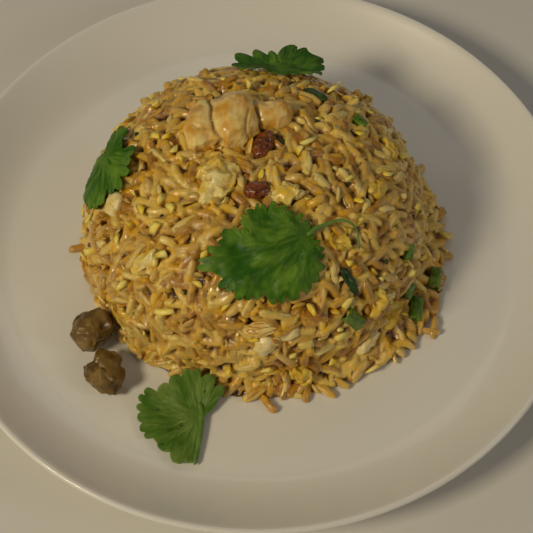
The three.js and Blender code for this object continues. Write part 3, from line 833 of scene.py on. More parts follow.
def leaf_edge(outline, turns):
    """The leaf's reach at each turn: straight runs between tips and notches, with the tips rounded a
    little."""
    tips = sorted(outline["tips"])
    cuts = list(outline["cuts"])
    for (angle, reach), (after, reach_after) in zip(tips, tips[1:] + tips[:1]):
        span = (after - angle) % 360
        if all((cut - angle) % 360 > span for cut, _ in outline["cuts"]):
            notch = outline.get("notch", ORDINARY_NOTCH)
            cuts.append(((angle + span / 2) % 360, notch * min(reach, reach_after)))
    stops = sorted([(*tip, True) for tip in tips] + [(*cut, False) for cut in cuts])
    reach = np.zeros(len(turns))
    degrees = np.degrees(turns) % 360
    for (start, near, is_tip), (end, far, ends_in_tip) in zip(stops, stops[1:] + stops[:1]):
        share = ((degrees - start) % 360) / ((end - start) % 360)
        eased = share
        if is_tip and not ends_in_tip:
            eased = share**ROUNDING
        elif ends_in_tip and not is_tip:
            eased = 1 - (1 - share) ** ROUNDING
        reach = np.where(share < 1, near + (far - near) * eased, reach)
    return reach


def polar(angle, reach):
    return np.array([math.cos(math.radians(angle)), math.sin(math.radians(angle))]) * reach


def leaf_veins(outline, flat):
    """How strongly each flat point of the leaf shows a vein, from 0 to 1. A main vein runs from the hub up
    each lobe, and side veins leave it for the teeth near that lobe."""
    hub = np.array(outline["hub"], float)
    strength = np.zeros(len(flat))
    lobes = [polar(*lobe) for lobe in outline["lobes"]]

    def draw(start, bend, end, width):
        for t in np.linspace(0, 1, 40):
            at = start * (1 - t) ** 2 + bend * 2 * t * (1 - t) + end * t**2
            away = np.linalg.norm(flat - at, axis=-1)
            fade = width * (1 - 0.45 * t)
            np.maximum(strength, (1 - 0.5 * t) * np.exp(-((away / fade) ** 2)), out=strength)

    for lobe in lobes:
        draw(hub, (hub + lobe) / 2 * 1.02, lobe, 0.4)
    for tip in outline["tips"]:
        end = polar(*tip) * 0.96
        nearest = min(lobes, key=lambda lobe: np.linalg.norm(lobe - end))
        draw(hub * 0.55 + nearest * 0.45, nearest * 0.9 + end * 0.1, end, 0.26)
    return strength


def hub_streaks(outline, flat):
    """Fine pleats from -1 to 1 that fan out from the hub, as the blade rises between its side veins."""
    away = flat - np.array(outline["hub"], float)
    reach = np.linalg.norm(away, axis=-1)
    turn = np.arctan2(away[:, 1], away[:, 0])
    round_way = np.stack([np.cos(turn) * 11, np.sin(turn) * 11, reach * 0.3], axis=-1)
    wander = 0.5 * noise(round_way, 2, 5)[:, None]
    broad = noise(round_way * 0.6 + wander, 1.0, 31)
    return (0.6 * broad + 0.6 * noise(round_way * 1.7 + wander, 1.0, 33)) * np.clip(reach / 4, 0, 1)


def lobe_fold(outline, flat):
    """Where one lobe lies over the next: how high it stands, and a painted highlight along its edge, both from
    0 to 1.
    """
    if "fold" not in outline:
        return np.zeros(len(flat)), np.zeros(len(flat))
    x, y = np.array(outline["fold"]).T
    over = flat[:, 1] - np.interp(flat[:, 0], x, y)
    reach = np.clip((flat[:, 0] - x[0] + 4) / 3, 0, 1) * np.clip((x[-1] - flat[:, 0]) / 6, 0, 1)
    step = np.clip(over / 0.6 + 0.5, 0, 1)
    stands = reach * step * (3 - 2 * step) * step * np.clip(1 - over / 16, 0, 1)
    return stands, reach * np.exp(-((over - 1.5) / 2) ** 2)


def leaf_blade(name, outline, settle, spokes, rings, curl):
    """A thin wavy leaf on a polar grid. settle lays flat points of the leaf down and gives their facing."""
    turns = round_turns(spokes)
    shares = np.linspace(1, 0, rings, endpoint=False)[::-1]
    reach = leaf_edge(outline, turns)
    edge = np.stack([np.cos(turns) * reach, np.sin(turns) * reach], axis=-1)
    flat = np.concatenate([[(0, 0)], *[edge * share for share in shares]])
    share = np.concatenate([[0], np.repeat(shares, spokes)])
    spread = np.column_stack([flat, np.zeros(len(flat))])
    vein = leaf_veins(outline, flat)
    pleats = hub_streaks(outline, flat)
    fold, edge_highlight = lobe_fold(outline, flat)
    # Painted highlight: lighter where the pleats rise, along a raised lobe's edge and at random, less on veins.
    arch_highlight = np.clip(0.4 + 0.4 * noise(spread, 6, 17) + 0.7 * pleats - 0.3 * vein + 0.5 * edge_highlight, 0, 1)
    height = 0.5 + curl * noise(spread, 6.5, 11) * share**2 - 0.2 * vein + 0.25 * noise(spread, 2.6, 23)
    height += 0.3 * pleats + FOLD_HEIGHT * fold
    base, facing = settle(flat[:, 0], flat[:, 1])
    upper = base + facing * height[:, None]
    points = np.concatenate([upper, upper - facing * BLADE]) + (0, 0, HEAP_BASE)
    count = len(flat)
    top = disc_faces(rings, spokes)
    rim = np.arange(count - spokes, count)
    after = np.roll(rim, -1)
    faces = top + [tuple(count + v for v in face[::-1]) for face in top]
    faces += np.column_stack([rim, count + rim, count + after, after]).tolist()
    # The front leaf takes the paler, greyer finish with its painted sheen.
    finish = WET_SHEEN_LEAF if outline is FRONT_LEAF else LEAF
    mesh = mesh_from(name, points, faces, {"vein": np.tile(vein, 2), "arch_highlight": np.tile(arch_highlight, 2)})
    return new_object(name, mesh, [finish])


def settle_on_heap(azimuth, elevation, lift, wave, flap=0.0):
    """Lays a leaf's flat points on the heap as the solid does. With a flap it stands off the slope lower
    down."""
    place, outward = surface_toward(direction(azimuth, elevation))
    across = in_plane(outward, 0)
    along = np.cross(outward, across)

    def settle(x, y):
        points, facing = surface_toward(place + np.outer(x, across) + np.outer(y, along))
        waves = wave * (0.5 + 0.5 * np.sin(x * 0.42 + 1) * np.cos(y * 0.37))
        raised = lift + waves + flap * np.maximum(0, y)
        return points + facing * raised[:, None], facing

    return settle


def settle_on_plate(x, y):
    """Lays the front leaf out on the plate, its upper part climbing the foot of the heap."""
    over = y - LEAN_START
    climb = LEAN_SLOPE * (over + np.hypot(over, 3)) / 2
    ripple = 0.5 * (1 + np.sin(x * 0.5) * np.cos(y * 0.33))
    slope = LEAN_SLOPE * (1 + over / np.hypot(over, 3)) / 2
    across, along = FRONT_LEAF["x"] + x, FRONT_LEAF["y"] + y - 0.25 * climb
    place = np.stack([across, along, FLAT_LIFT + climb + ripple], axis=-1)
    return place, unit(np.stack([np.zeros_like(x), -slope, np.ones_like(x)], axis=-1))


def smooth_path(stops, steps):
    """Points along a smooth curve through the stops."""
    stops = np.asarray(stops, float)
    ends = np.concatenate([[2 * stops[0] - stops[1]], stops, [2 * stops[-1] - stops[-2]]])
    path = []
    for i in range(len(stops) - 1):
        a, b, c, d = ends[i : i + 4]
        for t in np.linspace(0, 1, steps, endpoint=False):
            bend = (2 * a - 5 * b + 4 * c - d) * t**2 + (3 * b - a - 3 * c + d) * t**3
            path.append(0.5 * (2 * b + (c - a) * t + bend))
    return np.array(path + [stops[-1]])


def stalk(name, stops, radii, steps=10, sides=12):
    """A tapering round stalk through the stops, with rounded ends."""
    path = smooth_path(stops, steps)
    girth = np.interp(np.linspace(0, 1, len(path)), np.linspace(0, 1, len(radii)), radii)
    girth[0] *= 0.6
    girth[-1] *= 0.5
    way = unit(np.gradient(path, axis=0))
    side = unit(np.cross(way, (0.1, 0.2, 1.0)))
    over = np.cross(side, way)
    turns = round_turns(sides)
    rows = [
        place + np.outer(np.cos(turns), a) * g + np.outer(np.sin(turns), b) * g
        for place, a, b, g in zip(path, side, over, girth)
    ]
    tips = [path[0] - way[0] * girth[0] * 0.6, path[-1] + way[-1] * girth[-1] * 0.6]
    points = np.concatenate([[tips[0]], *rows, [tips[1]]]) + (0, 0, HEAP_BASE)
    mesh = mesh_from(name, points, tube_faces(len(path), sides), {"crease": np.zeros(len(points))})
    return new_object(name, mesh, [STALK])


# The centre leaf's stalk rises off the blade and curls down again beside it: azimuth, elevation, lift.
STEM_STOPS = [
    (-60.5, 55.8, 1.2), (-55, 56.2, 2.1), (-49, 55.5, 2.6), (-40.4, 53.3, 3.2), (-38, 48.5, 3.4),
    (-43, 43.5, 2.9),
]
STEM_RADII = [0.85, 0.8, 0.6, 0.42, 0.34, 0.3]
FRONT_STEM = [(4.6, 6.0, 2.6), (5.2, 2.2, 1.9), (4.6, -5, 1.6), (3.2, -14, 1.2)]
FRONT_STEM_RADII = [0.8, 0.95, 0.9, 0.8]


def build_leaves():
    leaves = [
        ("coriander_centre", CENTRE_LEAF, settle_on_heap(-88, 53, 0.9, 1.1), 300, 38, 0.75),
        ("coriander_left", LEFT_LEAF, settle_on_heap(171, 35, 1, 0.9), 220, 26, 0.6),
        ("coriander_back", BACK_LEAF, settle_on_heap(81, 40, 0.9, 1, flap=0.75), 220, 24, 0.6),
        ("coriander_front", FRONT_LEAF, settle_on_plate, 240, 28, 0.6),
    ]
    for node, *form in leaves:
        on_plate(leaf_blade(node + "_blade", *form), "leaf", node)
    azimuth, elevation, lift = np.array(STEM_STOPS).T
    places, outward = surface_toward(direction(azimuth, elevation))
    stem = stalk("coriander_centre_stalk", places + outward * lift[:, None], STEM_RADII)
    on_plate(stem, "leaf", "coriander_centre")
    front = [(FRONT_LEAF["x"] + x, FRONT_LEAF["y"] + y, z) for x, y, z in FRONT_STEM]
    on_plate(stalk("coriander_front_stalk", front, FRONT_STEM_RADII), "leaf", "coriander_front")


build_leaves()

# ---- the rice

GRAIN_LENGTH = 9.0  # the part's source has fewer grains, 8.8 mm long
GRAIN_WIDTH = 2.8
GRAIN_SEED = 7
OUTER_GRAINS = 1150
INNER_GRAINS = 600
BROKEN_GRAINS = 150
LOOSE_EGG = 84
LOOSE_BROWNED = 34
LOOSE_GREEN = 26
SHORT_SHARE = 0.3  # of the grains, broken or grown short
UNDER_LEAF = -1.2  # the level that grains keep below under a leaf
STRAY_HEIGHT = GRAIN_WIDTH / 2 - 0.2

# Grains that lie out on the plate: azimuth, distance out, and the way that each points.
STRAYS = [
    (-177, 60.5, 178), (-154, 56.5, 170), (-133, 56.5, -95), (-88, 61.5, -48), (-80.5, 60, 6),
    (-75, 60.5, -80), (-69.5, 60.5, -38), (-66, 60, 14), (-45, 63, -80), (-34, 66, -22), (-31, 67, 62),
    (-6, 63, 20), (27, 62.5, 48), (52, 62, 65), (95, 60, 80), (128, 59, 140), (152, 59, 170),
]

# Bits of egg between the grains, where they show most: azimuth, elevation, heading, length, width.
EGG_BITS = [
    (-155, 42, 20, 6.4, 5), (-145, 47, 60, 8, 5.4), (-173, 23, 80, 6.4, 4.4), (149, 33, 50, 6.4, 5),
    (-61, 21, 15, 7.4, 4.6), (-108, 21, 30, 7.4, 5), (-124, 29, 10, 9, 5.4), (-115, 42, 0, 5.4, 5),
    (-56, 30.5, 35, 8, 5), (-158, 47, 100, 8.4, 5.6), (-156, 54, 60, 7, 5.8), (171, 61, 70, 9, 6),
    (25, 70, 30, 8.6, 3.8), (-24, 50.5, 70, 7, 4.4), (-88, 12, 0, 6.4, 4.4), (95, 56, 0, 5.8, 5),
    (-3, 22, 90, 6.2, 4.8), (159, 56, 40, 6.2, 4.6), (-140, 18, 80, 6, 4.4),
]
EGG_LEVEL = 0.6

# Scattered bits: kind, how many, their shortest and longest, their slenderest and widest, level, first
# azimuth.
SCATTERED = (
    ("broken", BROKEN_GRAINS, (3.0, 6.5), (0.42, 0.62), -0.9, 13),
    ("egg", LOOSE_EGG, (3.6, 7.6), (0.6, 0.95), 0.45, 31),
    ("browned", LOOSE_BROWNED, (1.6, 3.4), (0.6, 0.95), -0.9, 119),
    ("green", LOOSE_GREEN, (1.8, 4.0), (0.6, 0.95), -0.9, 201),
)


def elevation_above(share):
    """The elevation in degrees below which this share of the heap's surface lies."""
    elevations = np.linspace(0, 90, 181)
    azimuths = np.linspace(-180, 180, 72, endpoint=False)
    points, _ = surface_toward(direction(azimuths[None, :], elevations[:, None]))
    down = np.linalg.norm(np.diff(points, axis=0), axis=-1).mean(axis=1)
    round_way = np.linalg.norm(points - np.roll(points, 1, axis=1), axis=-1).sum(axis=1)
    area = np.concatenate([[0], np.cumsum(down * (round_way[1:] + round_way[:-1]) / 2)])
    return np.interp(share * area[-1], area, elevations)


def even_places(count, offset):
    """Directions that spread count places evenly over the heap's surface."""
    azimuth = (np.arange(count) * 360 * 0.381966 + offset) % 360
    return direction(azimuth, elevation_above((np.arange(count) + 0.5) / count))


def seat_bits(places, headings, lengths, widths, levels):
    """The seats of pieces to be packed: where each lies, the way that it points, its sizes and its level."""
    points, outward = surface_toward(places)
    levels = np.full(len(places), levels, float)
    return {
        "centre": points + outward * levels[:, None],
        "way": in_plane(outward, headings),
        "length": np.asarray(lengths, float),
        "width": np.asarray(widths, float),
        "level": levels,
    }


def all_seats(random):
    """The seats of every grain and bit, each kind in its own block."""
    blocks = {}
    for kind, count, level, offset in (("outer", OUTER_GRAINS, -1.25, 0), ("inner", INNER_GRAINS, -3.5, 77)):
        places = even_places(count, offset)
        drift = 90 * noise(places * 50, 13, 3) + random.normal(0, 42, count)
        short = random.random(count) < SHORT_SHARE
        broken, whole = random.uniform(4.2, 7.2, count), random.normal(GRAIN_LENGTH - 0.2, 0.8, count)
        lengths = np.where(short, broken, whole)
        widths = random.normal(GRAIN_WIDTH, 0.2, count)
        levels = level + 0.6 * noise(places * 50, 7, 9) + random.normal(0, 0.35, count)
        blocks[kind] = seat_bits(places, drift + 180 * (random.random(count) < 0.5), lengths, widths, levels)
    for kind, count, sizes, slender, level, offset in SCATTERED:
        lengths = random.uniform(*sizes, count)
        widths = lengths * random.uniform(*slender, count)
        headings = random.uniform(0, 360, count)
        blocks[kind] = seat_bits(even_places(count, offset), headings, lengths, widths, level)
    azimuth, elevation, heading, length, width = np.array(EGG_BITS, float).T
    shown = seat_bits(direction(azimuth, elevation), heading, length, width, EGG_LEVEL)
    blocks["egg"] = {key: np.concatenate([blocks["egg"][key], shown[key]]) for key in shown}
    azimuth, out, heading = np.array(STRAYS, float).T
    blocks["stray"] = {
        "centre": direction(azimuth, 0) * out[:, None] + (0, 0, STRAY_HEIGHT),
        "way": direction(heading, 0),
        "length": np.full(len(STRAYS), GRAIN_LENGTH),
        "width": np.full(len(STRAYS), GRAIN_WIDTH),
        "level": np.full(len(STRAYS), np.nan),
    }
    return blocks


HEAP_LEAVES = ("coriander_centre", "coriander_left", "coriander_back")


def search_tree(names):
    """One search tree of these nodes' solids, in the heap's frame."""
    points, faces = [], []
    for name in names:
        mesh = frame["nodes"][name].data
        first = len(points)
        points.extend(Vector(p) for p in mesh_points(mesh) - (0, 0, HEAP_BASE))
        faces.extend([first + v for v in face.vertices] for face in mesh.polygons)
    return BVHTree.FromPolygons(points, faces)


# Each grain is packed as a row of beads. In each step, these shares of an overlap and of a drift are undone.
BEADS = np.array([-1, -1 / 3, 1 / 3, 1])
PACKING_STEPS = 88
REFRESH = 8  # steps after which neighbours are looked up again
NEIGHBOUR_REACH = 3.8
TOPPING_REACH = 5  # how far off a topping or a leaf still counts as near
SQUISH = 0.68  # sticky grains press into each other
APART = 0.32
HOLD = 0.22
WALL_APART = 0.3
WALL_FADE = 0.7
WALL_SQUISH = 0.86
FARTHEST_PUSH = 1.5
LARGEST_TURN = 0.2
FLOOR_GAP = 0.25  # how far grains sink below the floor
LOOSE_FALL = 0.3  # how much of its way down a grain on the plate falls in each step


def close_pairs(beads, owner):
    """Pairs of beads of different grains that lie near each other."""
    tree = kdtree.KDTree(len(beads))
    for i, bead in enumerate(beads):
        tree.insert(bead, i)
    tree.balance()
    pairs = []
    for i, bead in enumerate(beads):
        for _, j, _ in tree.find_range(bead, NEIGHBOUR_REACH):
            if j > i and owner[i] != owner[j]:
                pairs.append((i, j))
    return np.array(pairs, int).T


def wall_push(beads, radii, walls):
    """How far each bead has to move to lie clear of the toppings."""
    push = np.zeros_like(beads)
    for i, bead in enumerate(beads):
        place, normal, _, away = walls.find_nearest(Vector(bead), TOPPING_REACH)
        if place is None:
            continue
        offset = np.array(bead) - np.array(place)
        inside = offset @ np.array(normal) < 0
        depth = radii[i] * WALL_SQUISH + away if inside else radii[i] * WALL_SQUISH - away
        if depth > 0:
            way = np.array(normal) if inside or away < 1e-6 else offset / away
            push[i] = way * min(depth, FARTHEST_PUSH)
    return push


def pack(seats, walls, leaves, random):
    """Lets the pieces push each other apart until they lie close, each held at its level under the
    surface."""
    centre, way = seats["centre"].copy(), seats["way"].copy()
    count = len(centre)
    radius = seats["width"] / 2
    half = np.maximum(seats["length"] / 2 - radius * 0.85, 0.05)
    tilt = random.normal(0, 0.7, count)
    free = np.isnan(seats["level"])
    level = np.where(free, 0, seats["level"])[:, None] + tilt[:, None] * BEADS
    covered = np.array([leaves.find_nearest(Vector(c), TOPPING_REACH)[0] is not None for c in centre])
    level = np.where(covered[:, None], np.minimum(level, UNDER_LEAF), level)
    owner = np.repeat(np.arange(count), len(BEADS))
    bead_radius = radius[owner]
    loose = free[owner]
    for step in range(PACKING_STEPS):
        beads = centre[:, None] + way[:, None] * (half[:, None] * BEADS)[..., None]
        flat = beads.reshape(-1, 3)
        if step % REFRESH == 0:
            first, second = close_pairs(flat, owner)
            outward, steep = mound_slope(flat)
            held_off = wall_push(flat, bead_radius, walls)
        gap = flat[second] - flat[first]
        away = np.linalg.norm(gap, axis=-1) + 1e-9
        overlap = np.maximum(SQUISH * (bead_radius[first] + bead_radius[second]) - away, 0)
        push = gap * (APART * overlap / away)[:, None]
        shoves = [
            np.bincount(second, shove, len(flat)) - np.bincount(first, shove, len(flat)) for shove in push.T
        ]
        drift = mound_distance(flat) / steep - level.ravel()
        move = np.stack(shoves, axis=-1) - outward * (np.where(loose, 0, HOLD) * drift)[:, None]
        move += held_off * WALL_APART
        held_off = held_off * WALL_FADE
        lowest = flat[:, 2] + move[:, 2] - bead_radius + FLOOR_GAP
        move[:, 2] += np.maximum(-lowest, 0)
        move[:, 2] -= np.where(loose, np.maximum(lowest, 0) * LOOSE_FALL, 0)
        move = move.reshape(count, len(BEADS), 3)
        centre += move.mean(axis=1)
        turn = (move * BEADS[None, :, None]).sum(axis=1) / (half * (BEADS**2).sum())[:, None]
        way = unit(way + np.clip(turn, -LARGEST_TURN, LARGEST_TURN))
    return centre, way


def unit_shape(name, points, faces):
    """A shape about one unit across, kept out of the scene until pieces are scattered from it."""
    return bpy.data.objects.new(name, mesh_from(name, np.asarray(points) / MM, faces))


def grain_shape(name, random, sides=8):
    """A cooked grain one unit long and one wide: bent, flattened, its blunt ends drooping."""
    stations = np.array([-0.475, -0.39, -0.17, 0.12, 0.37, 0.465])
    girths = np.array([0.5, 0.87, 1.0, 1.03, 0.9, 0.56]) * (1 + random.normal(0, 0.06, 6))
    bend, droop, twist = random.normal(0, 0.6), random.uniform(0.2, 0.8), random.normal(0, 0.7)
    flat, dent = random.uniform(0.52, 0.8), random.uniform(0, 0.2)
    rows = []
    for station, girth in zip(stations, girths):
        lean = round_turns(sides) + twist * station
        swell = girth / 2 * (1 + random.normal(0, 0.06, sides)) * (1 - dent * (np.abs(np.sin(lean)) > 0.95))
        across = np.cos(lean) * swell + bend * (station**2 - 0.08)
        height = np.sin(lean) * swell * flat - droop * (station**2 - 0.05)
        rows.append(np.stack([station + np.zeros(sides), across, height], axis=-1))
    tips = [(end, bend * 0.17, -droop * 0.2) for end in (-0.5, 0.5)]
    return unit_shape(name, np.concatenate([[tips[0]], *rows, [tips[1]]]), tube_faces(len(stations), sides))


CRUMBLE = 0.35


def scrap_shape(name, seed, corners, cuts, thickness):
    """An angular scrap one unit across: the hull of a few corners, its sides cut finer and crumbled a
    little."""
    random = np.random.default_rng(seed)
    places = random.normal(0, 1, (corners, 3))
    places *= (random.uniform(0.38, 0.5, corners) / np.linalg.norm(places, axis=-1))[:, None]
    places[:, 2] *= thickness
    form = bmesh.new()
    hull = bmesh.ops.convex_hull(form, input=[form.verts.new(place) for place in places])
    loose = {v for v in hull["geom_interior"] + hull["geom_unused"] if isinstance(v, bmesh.types.BMVert)}
    bmesh.ops.delete(form, geom=list(loose), context="VERTS")
    if cuts:
        bmesh.ops.subdivide_edges(form, edges=form.edges, cuts=cuts, use_grid_fill=True)
    bmesh.ops.triangulate(form, faces=form.faces)
    bmesh.ops.recalc_face_normals(form, faces=form.faces)
    mesh = bpy.data.meshes.new(name)
    form.to_mesh(mesh)
    form.free()
    points = triples(mesh.vertices, "co")
    points *= 1 + CRUMBLE * noise(points * 10, 2.2, seed)[:, None]
    faces = [tuple(face.vertices) for face in mesh.polygons]
    bpy.data.meshes.remove(mesh)
    return unit_shape(name, points, faces)


def scatter_tree():
    """Stands one of several shapes at each seat, turned and sized by the seat's own numbers."""
    tree = bpy.data.node_groups.new("scattered food", "GeometryNodeTree")
    for name, kind in (
        ("Seats", "Geometry"), ("Shapes", "Collection"), ("Length", "Float"), ("Width", "Float"),
        ("Seed", "Int"), ("Finish", "Material"),
    ):
        tree.interface.new_socket(name, in_out="INPUT", socket_type="NodeSocket" + kind)
    tree.interface.new_socket("Pieces", in_out="OUTPUT", socket_type="NodeSocketGeometry")
    add = partial(add_node, tree)
    given = add("NodeGroupInput").outputs
    shapes = add("GeometryNodeCollectionInfo", [given["Shapes"], True, True])
    turn = add("GeometryNodeInputNamedAttribute", ["turn"], data_type="QUATERNION")
    size = add("GeometryNodeInputNamedAttribute", ["size"], data_type="FLOAT_VECTOR")
    sizes = add("ShaderNodeCombineXYZ", [given["Length"], given["Width"], given["Width"]])
    pick = add("FunctionNodeRandomValue", {4: 0, 5: 1000, "Seed": given["Seed"]}, data_type="INT")
    tint = add("FunctionNodeRandomValue", {2: 0.0, 3: 1.0, "Seed": given["Seed"]}, data_type="FLOAT")
    seats = {
        "Points": given["Seats"],
        "Instance": shapes,
        "Pick Instance": True,
        "Instance Index": pick,
        "Rotation": turn,
        "Scale": add("ShaderNodeVectorMath", [size, sizes], operation="MULTIPLY"),
    }
    standing = add("GeometryNodeInstanceOnPoints", seats)
    tinted = {"Geometry": standing, "Name": "tint", "Value": tint}
    marked = add("GeometryNodeStoreNamedAttribute", tinted, data_type="FLOAT", domain="INSTANCE")
    real = add("GeometryNodeRealizeInstances", {"Geometry": marked})
    finished = add("GeometryNodeSetMaterial", {"Geometry": real, "Material": given["Finish"]})
    add("NodeGroupOutput", [finished])
    return tree


SCATTER = scatter_tree()


def turned(way, outward, roll):
    """Quaternions that lay a piece along way, its flat side facing outward, rolled by an angle in degrees."""
    turns = []
    for x, n, angle in zip(way, outward, np.radians(roll)):
        z = n - x * (n @ x)
        z /= np.linalg.norm(z)
        y = np.cross(z, x)
        y, z = y * math.cos(angle) + z * math.sin(angle), z * math.cos(angle) - y * math.sin(angle)
        turns.append(Matrix(np.column_stack([x, y, z]).tolist()).to_quaternion())
    return np.array([tuple(q) for q in turns])


# The rice's painted shade of the gaps is full at this depth.
GAP_DEPTH = 3.4  # how deep the gaps between grains reach


def depth_under_surface(points):
    """From 0 at the heap's surface to 1 where the gaps between grains end, for the painted shade in gaps."""
    _, steep = mound_slope(points)
    return np.clip(-mound_distance(points) / steep / GAP_DEPTH, 0, 1)


def scatter(name, seats, shapes, material, sizes, seed, turns, unevenness=0.0):
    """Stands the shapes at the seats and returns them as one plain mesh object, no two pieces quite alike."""
    length, width = sizes
    collection = bpy.data.collections.new(name + "_shapes")
    for shape in shapes:
        collection.objects.link(shape)
    mesh = bpy.data.meshes.new(name + "_seats")
    mesh.from_pydata(((seats["centre"] + (0, 0, HEAP_BASE)) * MM).tolist(), [], [])
    size = np.stack([seats["length"] / length, seats["width"] / width, seats["width"] / width], axis=-1)
    for key, kind, field, values in (
        ("turn", "QUATERNION", "value", turns), ("size", "FLOAT_VECTOR", "vector", size),
    ):
        mesh.attributes.new(key, kind, "POINT").data.foreach_set(field, values.ravel().astype(np.float32))
    obj = new_object(name, mesh)
    modifier = obj.modifiers.new("scatter", "NODES")
    modifier.node_group = SCATTER
    values = {
        "Shapes": collection, "Length": length * MM, "Width": width * MM, "Seed": seed, "Finish": material,
    }
    for item in SCATTER.interface.items_tree:
        if item.name in values:
            modifier[item.identifier] = values[item.name]
    done = plain_mesh(obj)
    obj.modifiers.remove(modifier)
    obj.data = done
    bpy.data.collections.remove(collection)
    points = mesh_points(done)
    if unevenness:
        points += unevenness * three_noises(points, 2.4, seed + 61)
        move_points(done, points)
    # The depth attribute carries the painted shade of the gaps between grains.
    store(done, "depth", depth_under_surface(points - (0, 0, HEAP_BASE)))
    done.name = name
    done.shade_smooth()
    return obj


MASS_GRID = 300  # points along each side of the grid that the mass is made on
MASS_FLOOR = -2.1  # how deep the holes between grains go
# Below this depth a gap's painted shade darkens further, as a hole's.
HOLE_START = 1.4  # how deep a gap has to be to count as a hole
STARCH = 0.3  # how thickly starch rounds the creases between grains
CLEAR_GRAINS = 210  # grains that lie on top, clear of the mass
CLEAR_LIFT = 0.35
CLEAR_UNEVENNESS = 0.25


def even_grid(count):
    """Directions of a square grid laid over the whole heap in cells of about one area."""
    line = np.linspace(-1, 1, count)
    u, v = (side.ravel() for side in np.meshgrid(line, line))
    steep = np.abs(u) < np.abs(v)
    long, short = np.where(steep, v, u), np.where(steep, u, v)
    eighth = math.pi / 4 * short / np.where(np.abs(long) < 1e-9, 1, long)
    turn = np.where(steep, math.pi / 2 - eighth, eighth) + np.where(long < 0, math.pi, 0)
    return direction(np.degrees(turn), elevation_above(1 - long**2))


def pressed_grains(points, outward, grains, random):
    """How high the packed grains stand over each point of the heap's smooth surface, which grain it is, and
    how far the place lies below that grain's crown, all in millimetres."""
    height = MASS_FLOOR + 0.5 * noise(points, 4, 45)
    crown = height + 1.2
    owner = np.zeros(len(points), int)
    rows = zip(grains["centre"], grains["way"], grains["length"], grains["width"])
    for i, (centre, way, length, width) in enumerate(rows):
        near = np.flatnonzero(np.abs(points - centre).max(axis=1) < length / 2 + 1.5)
        if not len(near):
            continue
        n = outward[near]
        gap = points[near] - centre
        lift = n @ way
        level = (gap * n).sum(axis=1)
        drawn = way - n * lift[:, None]
        size = np.linalg.norm(drawn, axis=1) + 1e-6
        drawn /= size[:, None]
        half = (length / 2 - width * 0.35) * size
        along = ((gap - n * level[:, None]) * drawn).sum(axis=1)
        share = np.clip(along / half, -1, 1)
        across = (gap * np.cross(n, drawn)).sum(axis=1) - random.normal(0, 0.6) * (share**2 - 0.3)
        past = along - share * half
        girth = width / 2 * (1 - 0.22 * np.abs(share) ** 3)
        top = -level + share * half / size * lift
        flat = 0.88 * girth
        rise = 1 - (across**2 + past**2) / girth**2
        stands = top + flat * np.sqrt(np.maximum(rise, 0))
        here = rise > 0
        near, stands, peak = near[here], stands[here], (top + flat)[here]
        before = height[near]
        blend = np.maximum(STARCH - np.abs(stands - before), 0) ** 2 / (4 * STARCH)
        height[near] = np.maximum(stands, before) + blend
        wins = stands > before
        crown[near] = np.where(wins, peak, crown[near])
        owner[near] = np.where(wins, i, owner[near])
    return height, owner, crown - height


def build_rice_mass(grains, random):
    """The heap's own core: its grains pressed together into one translucent skin, closed below. Between them
    lie creases, filled with starch, and a few deeper holes, both darkened with painted shade."""
    points, outward = surface_toward(even_grid(MASS_GRID))
    height, owner, drop = pressed_grains(points, outward, grains, random)
    height += 0.06 * noise(points, 1.1, 47) + 0.14 * terraces(noise(points, 1.9, 48), 3)
    number = np.arange(MASS_GRID * MASS_GRID).reshape(MASS_GRID, MASS_GRID)
    rim = np.concatenate([number[0, :-1], number[:-1, -1], number[-1, :0:-1], number[:0:-1, 0]])
    points = points + outward * height[:, None]
    points[:, 2] = np.maximum(points[:, 2], 0)
    points[rim, 2] = 0
    points = np.concatenate([points, [(0, 0, 0)]])
    foot = len(points) - 1
    cell = number[:-1, :-1].ravel()
    faces = np.column_stack([cell, cell + 1, cell + MASS_GRID + 1, cell + MASS_GRID]).tolist()
    faces += [(int(b), int(a), foot) for a, b in zip(rim, np.roll(rim, -1))]
    own_tint = random.random(len(grains["centre"]))
    # Painted shade: darker the further a point lies below its grain's crown, darker still in holes.
    depth = 0.55 * drop / (GRAIN_WIDTH / 2) + np.clip(-height - HOLE_START, 0, 2) * 0.5
    values = {"tint": np.append(own_tint[owner], 0.5), "depth": np.append(np.clip(depth, 0, 1), 1)}
    mesh = mesh_from("rice_mass", points + (0, 0, HEAP_BASE), faces, values)
    on_plate(new_object("rice_mass", mesh, [MASS]), "rice", "rice_heap")


def lying_clear(grains, wanted):
    """Picks out grains that lie highest and clear of one another."""
    half = grains["length"] / 2 - grains["width"] * 0.3
    beads = grains["centre"][:, None] + grains["way"][:, None] * (half[:, None] * BEADS)[..., None]
    chosen = []
    for i in np.argsort(-mound_distance(grains["centre"])):
        if chosen:
            gaps = np.linalg.norm(beads[chosen].reshape(-1, 1, 3) - beads[i][None], axis=-1)
            if gaps.min() < grains["width"][i] * 0.9:
                continue
        chosen.append(i)
        if len(chosen) == wanted:
            break
    return np.array(chosen)


# How each kind of scrap is made: kind, material, slot, corners, cuts in each side, thickness, roll and seed.
SCRAPS = (
    ("broken", RICE, "rice", 11, 1, 0.8, 30, 71),
    ("egg", YOLK_BITS, "egg", 7, 1, 0.42, 14, 11),
    ("browned", BROWNED, "browned", 12, 1, 0.6, 30, 31),
    ("green", SHRED, "leaf", 8, 0, 0.3, 30, 51),
)
SCRAP_SIZE = (4.0, 3.0)
GRAIN_ROLL = 32


